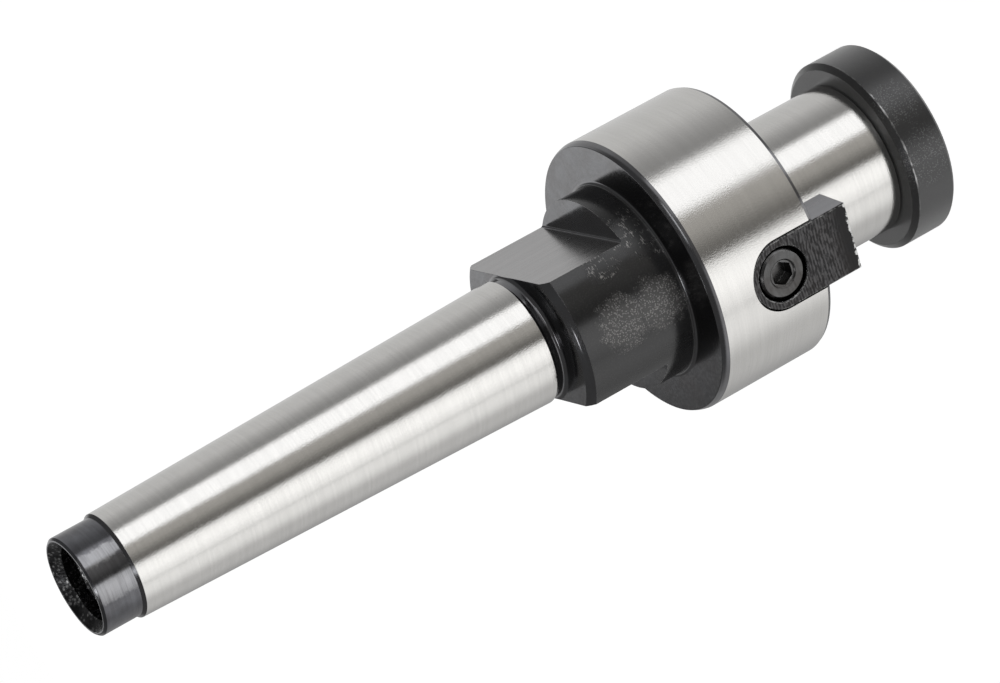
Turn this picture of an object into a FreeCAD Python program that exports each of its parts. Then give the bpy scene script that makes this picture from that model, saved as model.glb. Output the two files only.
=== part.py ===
# Face mill arbor: a Morse taper shank, a collar with spanner flats, a flange that carries two drive keys,
# a pilot that centres the cutter, and a big-headed screw that clamps the cutter against the flange.
#
# Frame, in millimetres: +Z runs along the arbor towards the shank, and the origin is on the axis at the
# face that the cutter seats on. +X passes through the middle of one drive key.
import FreeCAD, Part
import Sketcher
import math
import os

# Driving dimensions. Lengths are in millimetres and flat_turn is in degrees.
SIZES = {
    # pilot, which centres the cutter
    "pilot_diameter": 22.0,
    "pilot_length": 19.4,
    "pilot_chamfer": 0.65,
    # flange, whose front face is the cutter's seat
    "flange_diameter": 40.0,
    "flange_thickness": 18.0,
    "flange_edge_break": 0.25,
    "flange_rear_chamfer_length": 1.05,
    "flange_rear_chamfer_depth": 0.4,
    "seat_relief_width": 1.5,
    "seat_relief_depth": 0.3,
    # collar with two spanner flats
    "collar_diameter": 28.0,
    "collar_length": 17.3,
    "collar_chamfer": 0.95,
    "collar_root_fillet": 0.5,
    "collar_round_length": 4.6,
    "across_flats": 17.9,
    "flat_turn": 98.0,
    "flat_end_fillet": 0.3,
    # neck, which lets the grinding wheel run out beside the taper
    "neck_diameter": 17.3,
    "neck_length": 1.7,
    "neck_fillet": 0.9,
    # Morse taper no. 2 shank with a draw thread
    "taper_large_diameter": 18.0,
    "taper_length": 63.4,
    "taper_rate": 0.04995,
    "tail_diameter": 14.0,
    "tail_length": 5.6,
    "tail_chamfer": 0.3,
    "draw_hole_diameter": 8.5,
    "draw_hole_depth": 28.0,
    "draw_recess_diameter": 10.4,
    "draw_recess_depth": 3.0,
    "draw_countersink_diameter": 12.9,
    # drive keys and their slots
    "key_width": 10.0,
    "key_thickness": 5.5,
    "key_sink": 0.5,
    "key_overhang": 5.2,
    "key_seat_length": 11.4,
    "key_edge_chamfer": 0.45,
    "key_side_clearance": 0.06,
    "key_counterbore_diameter": 7.6,
    "key_clearance_hole_diameter": 4.4,
    # socket head screws that hold the keys
    "key_screw_diameter": 4.0,
    "key_screw_length": 8.0,
    "key_screw_head_diameter": 6.9,
    "key_screw_head_height": 4.0,
    "key_screw_head_sink": 0.05,
    "key_screw_head_chamfer": 0.35,
    "key_screw_tip_chamfer": 0.4,
    "key_screw_socket": 3.0,
    "key_screw_socket_depth": 2.0,
    "key_screw_hole_spare": 0.8,
    # screw that clamps the cutter
    "clamp_head_diameter": 28.0,
    "clamp_head_height": 7.0,
    "clamp_rear_chamfer_length": 0.65,
    "clamp_rear_chamfer_depth": 0.8,
    "clamp_front_chamfer": 0.5,
    "clamp_thread_diameter": 10.0,
    "clamp_thread_length": 25.0,
    "clamp_tip_chamfer": 1.0,
    "clamp_socket": 8.0,
    "clamp_socket_depth": 5.0,
    "clamp_hole_spare": 3.0,
    "clamp_hole_lead": 0.6,
    # radial clearance of a screw in its threaded hole, and a drill point's depth over its diameter
    "thread_clearance": 0.05,
    "drill_point_ratio": 0.3,
}

SHEET = "Sizes"
FULL_TURN = 360.0
HALF_TURN = 180.0
KEY_SIDES = {"front": 0.0, "rear": HALF_TURN}
KEY_FACE = "flange_diameter / 2 - key_sink"
KEY_FLOOR = f"{KEY_FACE} - key_thickness"
NEAR = 1e-4

document = FreeCAD.newDocument("FaceMillArbor")


def size(name):
    """The value of a driving dimension."""
    return SIZES[name]


def make_sheet():
    """Write the driving dimensions into a sheet, each cell with its name as alias."""
    sheet = document.addObject("Spreadsheet::Sheet", SHEET)
    for row, (name, value) in enumerate(SIZES.items(), start=1):
        sheet.set(f"A{row}", name.replace("_", " "))
        sheet.set(f"B{row}", str(value))
        sheet.setAlias(f"B{row}", name)
    document.recompute()


def bind(thing, target, formula):
    """Bind a property or a constraint to a formula whose words, where they name a size, mean its cell."""
    words = [f"{SHEET}.{word}" if word in SIZES else word for word in formula.split()]
    thing.setExpression(target, " ".join(words))


def new_body(label):
    """Start a piece."""
    body = document.addObject("PartDesign::Body", label)
    body.Label = label
    return body


def origin_feature(body, role):
    """The body's own origin plane or axis that has this role."""
    return next(feature for feature in body.Origin.OriginFeatures if feature.Role == role)


def new_sketch(body, name, plane, lift=None, turn=None):
    """Start a sketch on an origin plane of the body, raised and turned by formulas where given."""
    sketch = body.newObject("Sketcher::SketchObject", name)
    sketch.AttachmentSupport = (origin_feature(body, plane), [""])
    sketch.MapMode = "FlatFace"
    if lift:
        bind(sketch, "AttachmentOffset.Base.z", lift)
    if turn:
        about_normal = FreeCAD.Rotation(FreeCAD.Vector(0, 0, 1), HALF_TURN / 2)
        sketch.AttachmentOffset = FreeCAD.Placement(FreeCAD.Vector(), about_normal)
        bind(sketch, "AttachmentOffset.Rotation.Angle", turn)
    return sketch


def bound_constraint(sketch, formula, *constraint):
    """Add a constraint whose value follows a formula."""
    index = sketch.addConstraint(Sketcher.Constraint(*constraint))
    bind(sketch, f"Constraints[{index}]", formula)


def add_loop(sketch, corners):
    """Draw a closed loop of straight lines through corners, each a pair of formulas.

    The first places of the lines are rough, and the constraints bring them to the corners.
    """
    first = sketch.GeometryCount
    count = len(corners)
    rough = [FreeCAD.Vector(1 + step, 1 + step * step, 0) for step in range(count)]
    for step in range(count):
        sketch.addGeometry(Part.LineSegment(rough[step], rough[(step + 1) % count]), False)
    for step in range(count):
        following = first + (step + 1) % count
        sketch.addConstraint(Sketcher.Constraint("Coincident", first + step, 2, following, 1))
    for step, (across, along) in enumerate(corners):
        bound_constraint(sketch, across, "DistanceX", first + step, 1, 1)
        bound_constraint(sketch, along, "DistanceY", first + step, 1, 1)


def add_circle(sketch, diameter, along):
    """Draw a circle whose centre is at the height along on the sketch's upright axis."""
    circle = Part.Circle(FreeCAD.Vector(0, 1, 0), FreeCAD.Vector(0, 0, 1), 1)
    index = sketch.addGeometry(circle, False)
    bound_constraint(sketch, diameter, "Diameter", index, 2)
    bound_constraint(sketch, "0", "DistanceX", index, 3, 0)
    bound_constraint(sketch, along, "DistanceY", index, 3, 1)


def add_round_ended_loop(sketch, half_width, centre, front):
    """Draw a key's outline: a half circle about the height centre, and sides down to the height front."""
    up = FreeCAD.Vector(0, 1, 0)
    side = FreeCAD.Vector(1, 0, 0)
    half_circle = Part.ArcOfCircle(Part.Circle(up, FreeCAD.Vector(0, 0, 1), 1), 0, math.pi)
    arc = sketch.addGeometry(half_circle, False)
    left = sketch.addGeometry(Part.LineSegment(up - side, -up - side), False)
    base = sketch.addGeometry(Part.LineSegment(-up - side, side - up), False)
    right = sketch.addGeometry(Part.LineSegment(side - up, side + up), False)
    sketch.addConstraint(Sketcher.Constraint("Tangent", arc, 2, left, 1))
    sketch.addConstraint(Sketcher.Constraint("Tangent", right, 2, arc, 1))
    sketch.addConstraint(Sketcher.Constraint("Coincident", left, 2, base, 1))
    sketch.addConstraint(Sketcher.Constraint("Coincident", base, 2, right, 1))
    sketch.addConstraint(Sketcher.Constraint("Horizontal", base))
    sketch.addConstraint(Sketcher.Constraint("Vertical", left))
    sketch.addConstraint(Sketcher.Constraint("Vertical", right))
    bound_constraint(sketch, half_width, "Radius", arc, 1)
    bound_constraint(sketch, "0", "DistanceX", arc, 3, 0)
    bound_constraint(sketch, centre, "DistanceY", arc, 3, 1)
    bound_constraint(sketch, front, "DistanceY", base, 1, -1)


def turned(body, kind, name, corners):
    """Revolve a half outline, drawn as pairs of radius and height, about Z: kind adds or removes it."""
    sketch = new_sketch(body, f"{name}_outline", "XZ_Plane")
    add_loop(sketch, corners)
    feature = body.newObject(f"PartDesign::{kind}", name)
    feature.Profile = sketch
    feature.ReferenceAxis = (sketch, ["V_Axis"])
    feature.Angle = FULL_TURN
    document.recompute()
    return feature


def prism(body, kind, name, sketch, length, reverse=False):
    """Pad or pocket a sketch by the formula length."""
    feature = body.newObject(f"PartDesign::{kind}", name)
    feature.Profile = sketch
    feature.Reversed = reverse
    bind(feature, "Length", length)
    document.recompute()
    return feature


def hexagon(sketch, across):
    """Draw a hexagon about the sketch's origin with two corners on its level axis."""
    corner = f"{across} / sqrt(3)"
    flat = f"{across} / 2"
    sides = [(corner, "0"), (f"{corner} / 2", flat), (f"- {corner} / 2", flat)]
    opposite = [(f"- {corner}", "0"), (f"- {corner} / 2", f"- {flat}"), (f"{corner} / 2", f"- {flat}")]
    add_loop(sketch, sides + opposite)


def edges_where(feature, chosen):
    """Names of the feature's edges that chosen accepts."""
    return [f"Edge{n}" for n, edge in enumerate(feature.Shape.Edges, start=1) if chosen(edge)]


def dress(body, kind, name, base, edges, amount):
    """Chamfer or fillet the named edges of base by the formula amount."""
    feature = body.newObject(f"PartDesign::{kind}", name)
    feature.Base = (base, edges)
    bind(feature, "Size" if kind == "Chamfer" else "Radius", amount)
    document.recompute()
    return feature


def is_ring(edge, radius, height):
    """Whether the edge is a circle about Z with this radius at this height."""
    if not isinstance(edge.Curve, Part.Circle):
        return False
    level = abs(edge.Curve.Center.z - height) < NEAR
    return level and abs(edge.Curve.Radius - radius) < NEAR and math.hypot(*edge.Curve.Center[:2]) < NEAR


def arbor_outline():
    """Half outline of the turned arbor, from the pilot's end to the tail."""
    collar_end = "flange_thickness + collar_length"
    taper_start = f"{collar_end} + neck_length"
    taper_end = f"{taper_start} + taper_length"
    tail_end = f"{taper_end} + tail_length"
    pilot = [
        ("0", "- pilot_length"),
        ("pilot_diameter / 2 - pilot_chamfer", "- pilot_length"),
        ("pilot_diameter / 2", "- pilot_length + pilot_chamfer"),
        ("pilot_diameter / 2", "seat_relief_depth"),
        ("pilot_diameter / 2 + seat_relief_width - seat_relief_depth", "seat_relief_depth"),
        ("pilot_diameter / 2 + seat_relief_width", "0"),
    ]
    flange = [
        ("flange_diameter / 2 - flange_edge_break", "0"),
        ("flange_diameter / 2", "flange_edge_break"),
        ("flange_diameter / 2", "flange_thickness - flange_rear_chamfer_length"),
        ("flange_diameter / 2 - flange_rear_chamfer_depth", "flange_thickness"),
    ]
    collar = [
        ("collar_diameter / 2", "flange_thickness"),
        ("collar_diameter / 2", f"{collar_end} - collar_chamfer"),
        ("collar_diameter / 2 - collar_chamfer", collar_end),
        ("neck_diameter / 2", collar_end),
    ]
    neck_lead = "( taper_large_diameter - neck_diameter ) / 2"
    shank = [
        ("neck_diameter / 2", f"{taper_start} - {neck_lead}"),
        ("taper_large_diameter / 2", taper_start),
        ("( taper_large_diameter - taper_length * taper_rate ) / 2", taper_end),
        ("tail_diameter / 2", taper_end),
        ("tail_diameter / 2", f"{tail_end} - tail_chamfer"),
        ("tail_diameter / 2 - tail_chamfer", tail_end),
        ("0", tail_end),
    ]
    return pilot + flange + collar + shank


def draw_hole_outline():
    """Half outline of the draw thread's hole: countersink, recess, hole and drill point."""
    mouth = "flange_thickness + collar_length + neck_length + taper_length + tail_length"
    cone_depth = "( draw_countersink_diameter - draw_recess_diameter ) / 2"
    step_depth = "( draw_recess_diameter - draw_hole_diameter ) / 2"
    floor = f"{mouth} - draw_hole_depth"
    return [
        ("0", mouth),
        ("draw_countersink_diameter / 2", mouth),
        ("draw_recess_diameter / 2", f"{mouth} - {cone_depth}"),
        ("draw_recess_diameter / 2", f"{mouth} - draw_recess_depth"),
        ("draw_hole_diameter / 2", f"{mouth} - draw_recess_depth - {step_depth}"),
        ("draw_hole_diameter / 2", floor),
        ("0", f"{floor} - draw_hole_diameter * drill_point_ratio"),
    ]


def clamp_hole_outline():
    """Half outline of the clamping screw's hole, from its countersunk mouth in the pilot."""
    wall = "clamp_thread_diameter / 2 + thread_clearance"
    floor = "- pilot_length + clamp_thread_length + clamp_hole_spare"
    return [
        ("0", "- pilot_length"),
        (f"{wall} + clamp_hole_lead", "- pilot_length"),
        (wall, "- pilot_length + clamp_hole_lead"),
        (wall, floor),
        ("0", f"{floor} + clamp_thread_diameter * drill_point_ratio"),
    ]


def cut_flats(body):
    """Mill the two spanner flats, which run from short of the flange out over the neck."""
    start = "flange_thickness + collar_round_length"
    sketch = new_sketch(body, "flats_outline", "XY_Plane", lift=start, turn="flat_turn")
    for sign in ("", "- "):
        inner = f"{sign}across_flats / 2"
        outer = f"{sign}collar_diameter"
        low, high = "- collar_diameter", "collar_diameter"
        add_loop(sketch, [(inner, low), (outer, low), (outer, high), (inner, high)])
    length = "collar_length - collar_round_length + neck_fillet"
    return prism(body, "Pocket", "spanner_flats", sketch, length, reverse=True)


def is_flat_root(edge):
    """Whether the edge is the inner corner at the flange end of a spanner flat."""
    start = size("flange_thickness") + size("collar_round_length")
    box = edge.BoundBox
    level = abs(box.ZMin - start) < NEAR and abs(box.ZMax - start) < NEAR
    middle = edge.CenterOfMass
    return level and abs(math.hypot(middle.x, middle.y) - size("across_flats") / 2) < NEAR


def cut_key_slots(body):
    """Mill the two key slots, open at the seat, and drill a screw hole in the floor of each."""
    key_centre = "key_seat_length - key_width / 2"
    half_slot = "key_width / 2 + key_side_clearance"
    slot_sketch = new_sketch(body, "key_slot_outline", "YZ_Plane", lift=KEY_FLOOR)
    add_round_ended_loop(slot_sketch, half_slot, key_centre, "- key_overhang")
    slot = prism(body, "Pocket", "key_slot", slot_sketch, "flange_diameter / 2", reverse=True)
    hole_sketch = new_sketch(body, "key_screw_hole_outline", "YZ_Plane", lift=KEY_FLOOR)
    add_circle(hole_sketch, "key_screw_diameter + 2 * thread_clearance", key_centre)
    screw_seat = "key_thickness - key_screw_head_sink - key_screw_head_height"
    depth = f"key_screw_length - ( {screw_seat} ) + key_screw_hole_spare"
    hole = prism(body, "Pocket", "key_screw_hole", hole_sketch, depth)
    pattern = body.newObject("PartDesign::PolarPattern", "key_slots")
    pattern.Originals = [slot, hole]
    pattern.Axis = (origin_feature(body, "Z_Axis"), [""])
    pattern.Angle = FULL_TURN
    pattern.Occurrences = len(KEY_SIDES)
    body.Tip = pattern
    document.recompute()


def make_arbor_body():
    """The arbor itself: one turned, milled and ground piece of steel."""
    body = new_body("arbor_body")
    turning = turned(body, "Revolution", "turning", arbor_outline())
    collar_radius = size("collar_diameter") / 2
    collar_end = size("flange_thickness") + size("collar_length")
    collar_root = edges_where(turning, lambda edge: is_ring(edge, collar_radius, size("flange_thickness")))
    root = dress(body, "Fillet", "collar_root", turning, collar_root, "collar_root_fillet")
    neck_root = edges_where(root, lambda edge: is_ring(edge, size("neck_diameter") / 2, collar_end))
    dress(body, "Fillet", "neck_root", root, neck_root, "neck_fillet")
    flats = cut_flats(body)
    dress(body, "Fillet", "flat_ends", flats, edges_where(flats, is_flat_root), "flat_end_fillet")
    turned(body, "Groove", "draw_hole", draw_hole_outline())
    turned(body, "Groove", "clamp_hole", clamp_hole_outline())
    cut_key_slots(body)
    return body


def is_key_outline(edge):
    """Whether the edge runs round the key's outer face, other than along its front end."""
    box = edge.BoundBox
    outer = size("flange_diameter") / 2 - size("key_sink")
    on_outer_face = abs(box.XMin - outer) < NEAR and abs(box.XMax - outer) < NEAR
    along_front = abs(box.ZMax + size("key_overhang")) < NEAR
    half_width = size("key_width") / 2
    on_rim = max(abs(box.YMin), abs(box.YMax)) > half_width - NEAR
    return on_outer_face and on_rim and not along_front


def make_drive_key(side, turn):
    """A drive key with a rounded rear end, counterbored for its screw."""
    body = new_body(f"drive_key_{side}")
    key_centre = "key_seat_length - key_width / 2"
    outline = new_sketch(body, f"key_{side}_outline", "YZ_Plane", lift=KEY_FLOOR)
    add_round_ended_loop(outline, "key_width / 2", key_centre, "- key_overhang")
    block = prism(body, "Pad", f"key_{side}_block", outline, "key_thickness")
    rim = edges_where(block, is_key_outline)
    dress(body, "Chamfer", f"key_{side}_rim", block, rim, "key_edge_chamfer")
    for name, diameter, depth in (
        ("hole", "key_clearance_hole_diameter", "key_thickness"),
        ("counterbore", "key_counterbore_diameter", "key_screw_head_height + key_screw_head_sink"),
    ):
        sketch = new_sketch(body, f"key_{side}_{name}_outline", "YZ_Plane", lift=KEY_FACE)
        add_circle(sketch, diameter, key_centre)
        prism(body, "Pocket", f"key_{side}_{name}", sketch, depth)
    body.Placement = FreeCAD.Placement(FreeCAD.Vector(), FreeCAD.Rotation(FreeCAD.Vector(0, 0, 1), turn))
    return body


def make_key_screw(side, turn):
    """A socket head cap screw, drawn upright with its head's top at the origin, then laid in its key."""
    body = new_body(f"key_screw_{side}")
    head = "key_screw_head_diameter / 2"
    stem = "key_screw_diameter / 2"
    seat = "- key_screw_head_height"
    tip = f"{seat} - key_screw_length"
    outline = [
        ("0", "0"),
        (f"{head} - key_screw_head_chamfer", "0"),
        (head, "- key_screw_head_chamfer"),
        (head, seat),
        (stem, seat),
        (stem, f"{tip} + key_screw_tip_chamfer"),
        (f"{stem} - key_screw_tip_chamfer", tip),
        ("0", tip),
    ]
    turned(body, "Revolution", f"screw_{side}_turning", outline)
    socket = new_sketch(body, f"screw_{side}_socket_outline", "XY_Plane")
    hexagon(socket, "key_screw_socket")
    prism(body, "Pocket", f"screw_{side}_socket", socket, "key_screw_socket_depth")
    outward = FreeCAD.Rotation(FreeCAD.Vector(0, 1, 0), HALF_TURN / 2)
    about_axis = FreeCAD.Rotation(FreeCAD.Vector(0, 0, 1), turn)
    corner_across = FreeCAD.Rotation(FreeCAD.Vector(0, 0, 1), HALF_TURN / 2)
    body.Placement = FreeCAD.Placement(FreeCAD.Vector(), about_axis * outward * corner_across)
    reach = f"{math.cos(math.radians(turn)):.0f} * ( {KEY_FACE} - key_screw_head_sink )"
    bind(body, "Placement.Base.x", reach)
    bind(body, "Placement.Base.z", "key_seat_length - key_width / 2")
    return body


def make_clamping_screw():
    """The screw whose wide head clamps the cutter, seated here on the pilot's end."""
    body = new_body("clamping_screw")
    head = "clamp_head_diameter / 2"
    stem = "clamp_thread_diameter / 2"
    front = "- pilot_length - clamp_head_height"
    tip = "- pilot_length + clamp_thread_length"
    outline = [
        ("0", front),
        (f"{head} - clamp_front_chamfer", front),
        (head, f"{front} + clamp_front_chamfer"),
        (head, "- pilot_length - clamp_rear_chamfer_length"),
        (f"{head} - clamp_rear_chamfer_depth", "- pilot_length"),
        (stem, "- pilot_length"),
        (stem, f"{tip} - clamp_tip_chamfer"),
        (f"{stem} - clamp_tip_chamfer", tip),
        ("0", tip),
    ]
    turned(body, "Revolution", "clamp_turning", outline)
    socket = new_sketch(body, "clamp_socket_outline", "XY_Plane", lift=front)
    hexagon(socket, "clamp_socket")
    prism(body, "Pocket", "clamp_socket_cut", socket, "clamp_socket_depth", reverse=True)
    return body


def check(bodies):
    """Stop where a feature failed, a cut removed nothing or a piece is unsound."""
    for thing in document.Objects:
        if "Invalid" in thing.State or "Error" in thing.State:
            raise RuntimeError(f"{thing.Label} failed: {thing.State}")
        cuts = thing.TypeId in ("PartDesign::Pocket", "PartDesign::Groove")
        if cuts and thing.Shape.Volume > thing.BaseFeature.Shape.Volume - NEAR:
            raise RuntimeError(f"{thing.Label} cuts nothing")
    for body in bodies:
        if body.Shape.isNull() or not body.Shape.isValid() or len(body.Shape.Solids) != 1:
            raise RuntimeError(f"{body.Label} isn't one sound solid")


def main():
    """Build every piece, check it and write its file."""
    make_sheet()
    bodies = [make_arbor_body(), make_clamping_screw()]
    for side, turn in KEY_SIDES.items():
        bodies += [make_drive_key(side, turn), make_key_screw(side, turn)]
    document.recompute()
    check(bodies)
    os.makedirs("parts", exist_ok=True)
    for body in bodies:
        body.Shape.exportStep(f"parts/{body.Label}.step")
        print(f"{body.Label}: {body.Shape.Volume:.1f} mm3, {len(body.Shape.Faces)} faces")


main()
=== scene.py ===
"""Face mill arbor: its visible pieces, finishes, light and camera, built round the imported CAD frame."""

import logging
import math
from collections.abc import Sequence
from dataclasses import dataclass
from enum import Enum

import bmesh
import bpy
from mathutils import Matrix, Vector


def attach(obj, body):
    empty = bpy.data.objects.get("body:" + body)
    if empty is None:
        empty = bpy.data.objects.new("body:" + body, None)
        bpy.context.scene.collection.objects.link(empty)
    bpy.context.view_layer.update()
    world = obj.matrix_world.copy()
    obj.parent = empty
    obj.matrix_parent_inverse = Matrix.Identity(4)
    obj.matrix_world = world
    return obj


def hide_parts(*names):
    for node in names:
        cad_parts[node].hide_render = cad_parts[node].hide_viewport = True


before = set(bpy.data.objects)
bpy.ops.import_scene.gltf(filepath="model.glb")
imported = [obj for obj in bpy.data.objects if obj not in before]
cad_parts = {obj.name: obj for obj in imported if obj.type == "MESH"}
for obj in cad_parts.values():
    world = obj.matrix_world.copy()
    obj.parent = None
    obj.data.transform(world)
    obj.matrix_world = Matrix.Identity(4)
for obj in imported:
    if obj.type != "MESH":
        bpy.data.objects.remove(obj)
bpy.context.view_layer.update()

log = logging.getLogger("face_mill_arbor")

MM = 0.001
FULL_TURN = 2 * math.pi
SHARP_ANGLE = math.radians(28)

# facets round the axis, in a rounded corner and in a round end
TURN_STEPS = 240
HOLE_STEPS = 96
ARC_STEPS = 5
FILLET_STEPS = 6
END_STEPS = 40

# a rounded corner takes at most this share of its shorter run, and its guard rings stand this far off
ARC_SHARE = 0.45
GUARD = 0.06
ON_AXIS = 1e-6

# roundings of edges, in millimetres
FINE = 0.05
CRISP = 0.06
KEEN = 0.08
EASED = 0.1
SOFT = 0.12
ROUND = 0.15

THREAD_PITCH = 1.5
DRILL_POINT_RATIO = 0.3

# how far a cutting tool reaches past the piece, in millimetres
OVERSHOOT = 1.0

Socket = bpy.types.NodeSocket
Triple = tuple[float, float, float]
Colour = Triple
Outline = Sequence[tuple[float, float]]

UPRIGHT = Matrix.Identity(4)
OUT_ALONG_X = Matrix(((0, 0, 1, 0), (0, 1, 0, 0), (1, 0, 0, 0), (0, 0, 0, 1)))


class Zone(Enum):
    """The finishes that one piece can show, numbered as its material slots."""

    GROUND = 0
    OXIDE = 1
    COLLAR = 2
    FLAT = 3
    BORE = 4
    TAIL = 5


class KeyZone(Enum):
    """The finishes of a drive key, numbered as its material slots; the counterbore's finish also paints shade
    on the sides hidden in the slot.
    """

    FACE = 0
    BORE = 1
    SIDE = 2


class Side(Enum):
    """The two opposite places of the drive keys, as turns about the arbor's axis in degrees."""

    FRONT = 0.0
    REAR = 180.0

    def turn(self) -> Matrix:
        """The turn from the front place to this one."""
        return Matrix.Rotation(math.radians(self.value), 4, "Z")


class Marks(Enum):
    """How a milled face is marked."""

    RIDGES = "even ridges from a milling cutter"
    BRUSHED = "fine lines along the face"


class Body(Enum):
    """The two bodies of the frame."""

    ARBOR = "arbor"
    CLAMP = "clamp"


# Half outlines and the meshes turned from them


@dataclass(frozen=True)
class Thread:
    """A helical thread that a turned surface carries, in millimetres."""

    inner: float
    outer: float
    start: float
    end: float
    rings_per_pitch: int = 6
    crest_share: float = 0.28

    def radius(self, height: float, angle: float) -> float:
        """Radius of the thread's surface.

        Args:
            height: place along the axis.
            angle: turn about the axis, in radians.

        Returns:
            The radius there, between the inner and the outer radius.
        """
        phase = (height / THREAD_PITCH - angle / FULL_TURN) % 1.0
        rise = abs(2 * phase - 1)
        flank = (rise - self.crest_share / 2) / (1 - self.crest_share)
        return self.inner + (self.outer - self.inner) * min(max(flank, 0.0), 1.0)

    def heights(self) -> list[float]:
        """Heights of the rings that carry the thread."""
        count = round((self.end - self.start) / THREAD_PITCH * self.rings_per_pitch)
        return [self.start + (self.end - self.start) * i / count for i in range(count + 1)]


@dataclass(frozen=True)
class Corner:
    """A corner of a half outline: height, radius, rounding, and the finish of the run after it."""

    height: float
    radius: float
    rounding: float = 0.0
    zone: Zone = Zone.GROUND
    thread: Thread | None = None

    def point(self) -> Vector:
        """The corner's place in the outline's own plane."""
        return Vector((self.height, self.radius))


@dataclass(frozen=True)
class Ring:
    """One ring of a turned mesh, with the finish of the band after it."""

    height: float
    radius: float
    zone: Zone
    thread: Thread | None = None


def arc(before: Corner, corner: Corner, after: Corner) -> list[Ring]:
    """Round one corner, and put a guard ring beside the arc on each run that has room for it.

    Args:
        before: the corner before it.
        corner: the corner that is rounded.
        after: the corner after it.

    Returns:
        The rings of the arc in order.
    """
    here = corner.point()
    back = before.point() - here
    ahead = after.point() - here
    half = back.angle(ahead) / 2
    limit = ARC_SHARE * min(back.length, ahead.length)
    radius = corner.rounding * min(1.0, limit * math.tan(half) / corner.rounding)
    reach = radius / math.tan(half)
    first = here + back.normalized() * reach
    last = here + ahead.normalized() * reach
    centre = here + (back.normalized() + ahead.normalized()).normalized() * radius / math.sin(half)
    start = first - centre
    spread = math.copysign(math.pi - 2 * half, start.cross(last - centre))
    rings = []
    if back.length - reach > 3 * GUARD:
        rings.append(Ring(*(first + back.normalized() * GUARD), before.zone))
    for step in range(ARC_STEPS + 1):
        point = centre + Matrix.Rotation(spread * step / ARC_STEPS, 2) @ start
        rings.append(Ring(*point, before.zone if step < ARC_STEPS / 2 else corner.zone))
    if ahead.length - reach > 3 * GUARD:
        rings.append(Ring(*(last + ahead.normalized() * GUARD), corner.zone))
    return rings


def rounded(corners: Sequence[Corner]) -> list[Ring]:
    """Round the corners of a half outline.

    Args:
        corners: the outline's corners in order.

    Returns:
        The rings of the turned mesh, in the same order.
    """
    rings: list[Ring] = []
    for index, corner in enumerate(corners):
        if corner.thread:
            heights = corner.thread.heights()
            if corner.height > corners[index + 1].height:
                heights.reverse()
            rings.extend(Ring(height, corner.radius, corner.zone, corner.thread) for height in heights)
        elif corner.rounding <= 0 or index in (0, len(corners) - 1):
            rings.append(Ring(corner.height, corner.radius, corner.zone))
        else:
            rings.extend(arc(corners[index - 1], corner, corners[index + 1]))
    return rings


def linked(name: str, work: bmesh.types.BMesh) -> bpy.types.Object:
    """Turn a working mesh into an object of the scene.

    Args:
        name: name of the new object.
        work: the mesh, which is freed.

    Returns:
        The object, with its faces turned outward and shaded smooth.
    """
    bmesh.ops.recalc_face_normals(work, faces=work.faces)
    for face in work.faces:
        face.smooth = True
    mesh = bpy.data.meshes.new(name)
    work.to_mesh(mesh)
    work.free()
    piece = bpy.data.objects.new(name, mesh)
    bpy.context.scene.collection.objects.link(piece)
    return piece


def turned(name: str, rings: Sequence[Ring], steps: int = TURN_STEPS) -> bpy.types.Object:
    """Turn a half outline about the arbor's axis.

    Args:
        name: name of the new piece.
        rings: the outline, from axis to axis.
        steps: facets round the axis.

    Returns:
        The closed mesh as an object, in metres.
    """
    work = bmesh.new()
    loops = []
    for ring in rings:
        if ring.radius < ON_AXIS:
            loops.append([work.verts.new((0, 0, ring.height * MM))])
            continue
        loop = []
        for step in range(steps):
            angle = FULL_TURN * step / steps
            radius = ring.thread.radius(ring.height, angle) if ring.thread else ring.radius
            place = (radius * math.cos(angle) * MM, radius * math.sin(angle) * MM, ring.height * MM)
            loop.append(work.verts.new(place))
        loops.append(loop)
    for ring, lower, upper in zip(rings, loops, loops[1:]):
        for step in range(steps):
            after = (step + 1) % steps
            if len(lower) == 1:
                face = work.faces.new((lower[0], upper[after], upper[step]))
            elif len(upper) == 1:
                face = work.faces.new((lower[step], lower[after], upper[0]))
            else:
                face = work.faces.new((lower[step], lower[after], upper[after], upper[step]))
            face.material_index = ring.zone.value
    return linked(name, work)


def stacked(
    name: str, layers: Sequence[tuple[float, Outline]], place: Matrix = UPRIGHT, zone: Zone = Zone.GROUND
) -> bpy.types.Object:
    """Join flat outlines, one above the other, into a closed piece.

    Args:
        name: name of the new piece.
        layers: the outlines with their levels, from the lowest up, in millimetres.
        place: turns the piece into the frame.
        zone: finish that its faces carry.

    Returns:
        The piece as an object, in metres.
    """
    work = bmesh.new()
    rings = []
    for level, outline in layers:
        rings.append([work.verts.new((place @ Vector((x, y, level))) * MM) for x, y in outline])
    work.faces.new(rings[0][::-1])
    work.faces.new(rings[-1])
    for lower, upper in zip(rings, rings[1:]):
        for index in range(len(lower)):
            after = (index + 1) % len(lower)
            work.faces.new((lower[index], lower[after], upper[after], upper[index]))
    for face in work.faces:
        face.material_index = zone.value
    return linked(name, work)


def cut(piece: bpy.types.Object, tool: bpy.types.Object) -> None:
    """Cut the tool's shape out of the piece and remove the tool.

    Args:
        piece: the object that is cut.
        tool: the closed shape that is taken away.
    """
    step = piece.modifiers.new("cut", "BOOLEAN")
    step.operation = "DIFFERENCE"
    step.solver = "EXACT"
    step.object = tool
    graph = bpy.context.evaluated_depsgraph_get()
    mesh = bpy.data.meshes.new_from_object(piece.evaluated_get(graph))
    piece.modifiers.remove(step)
    old = piece.data
    piece.data = mesh
    bpy.data.meshes.remove(old)
    bpy.data.objects.remove(tool)


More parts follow.
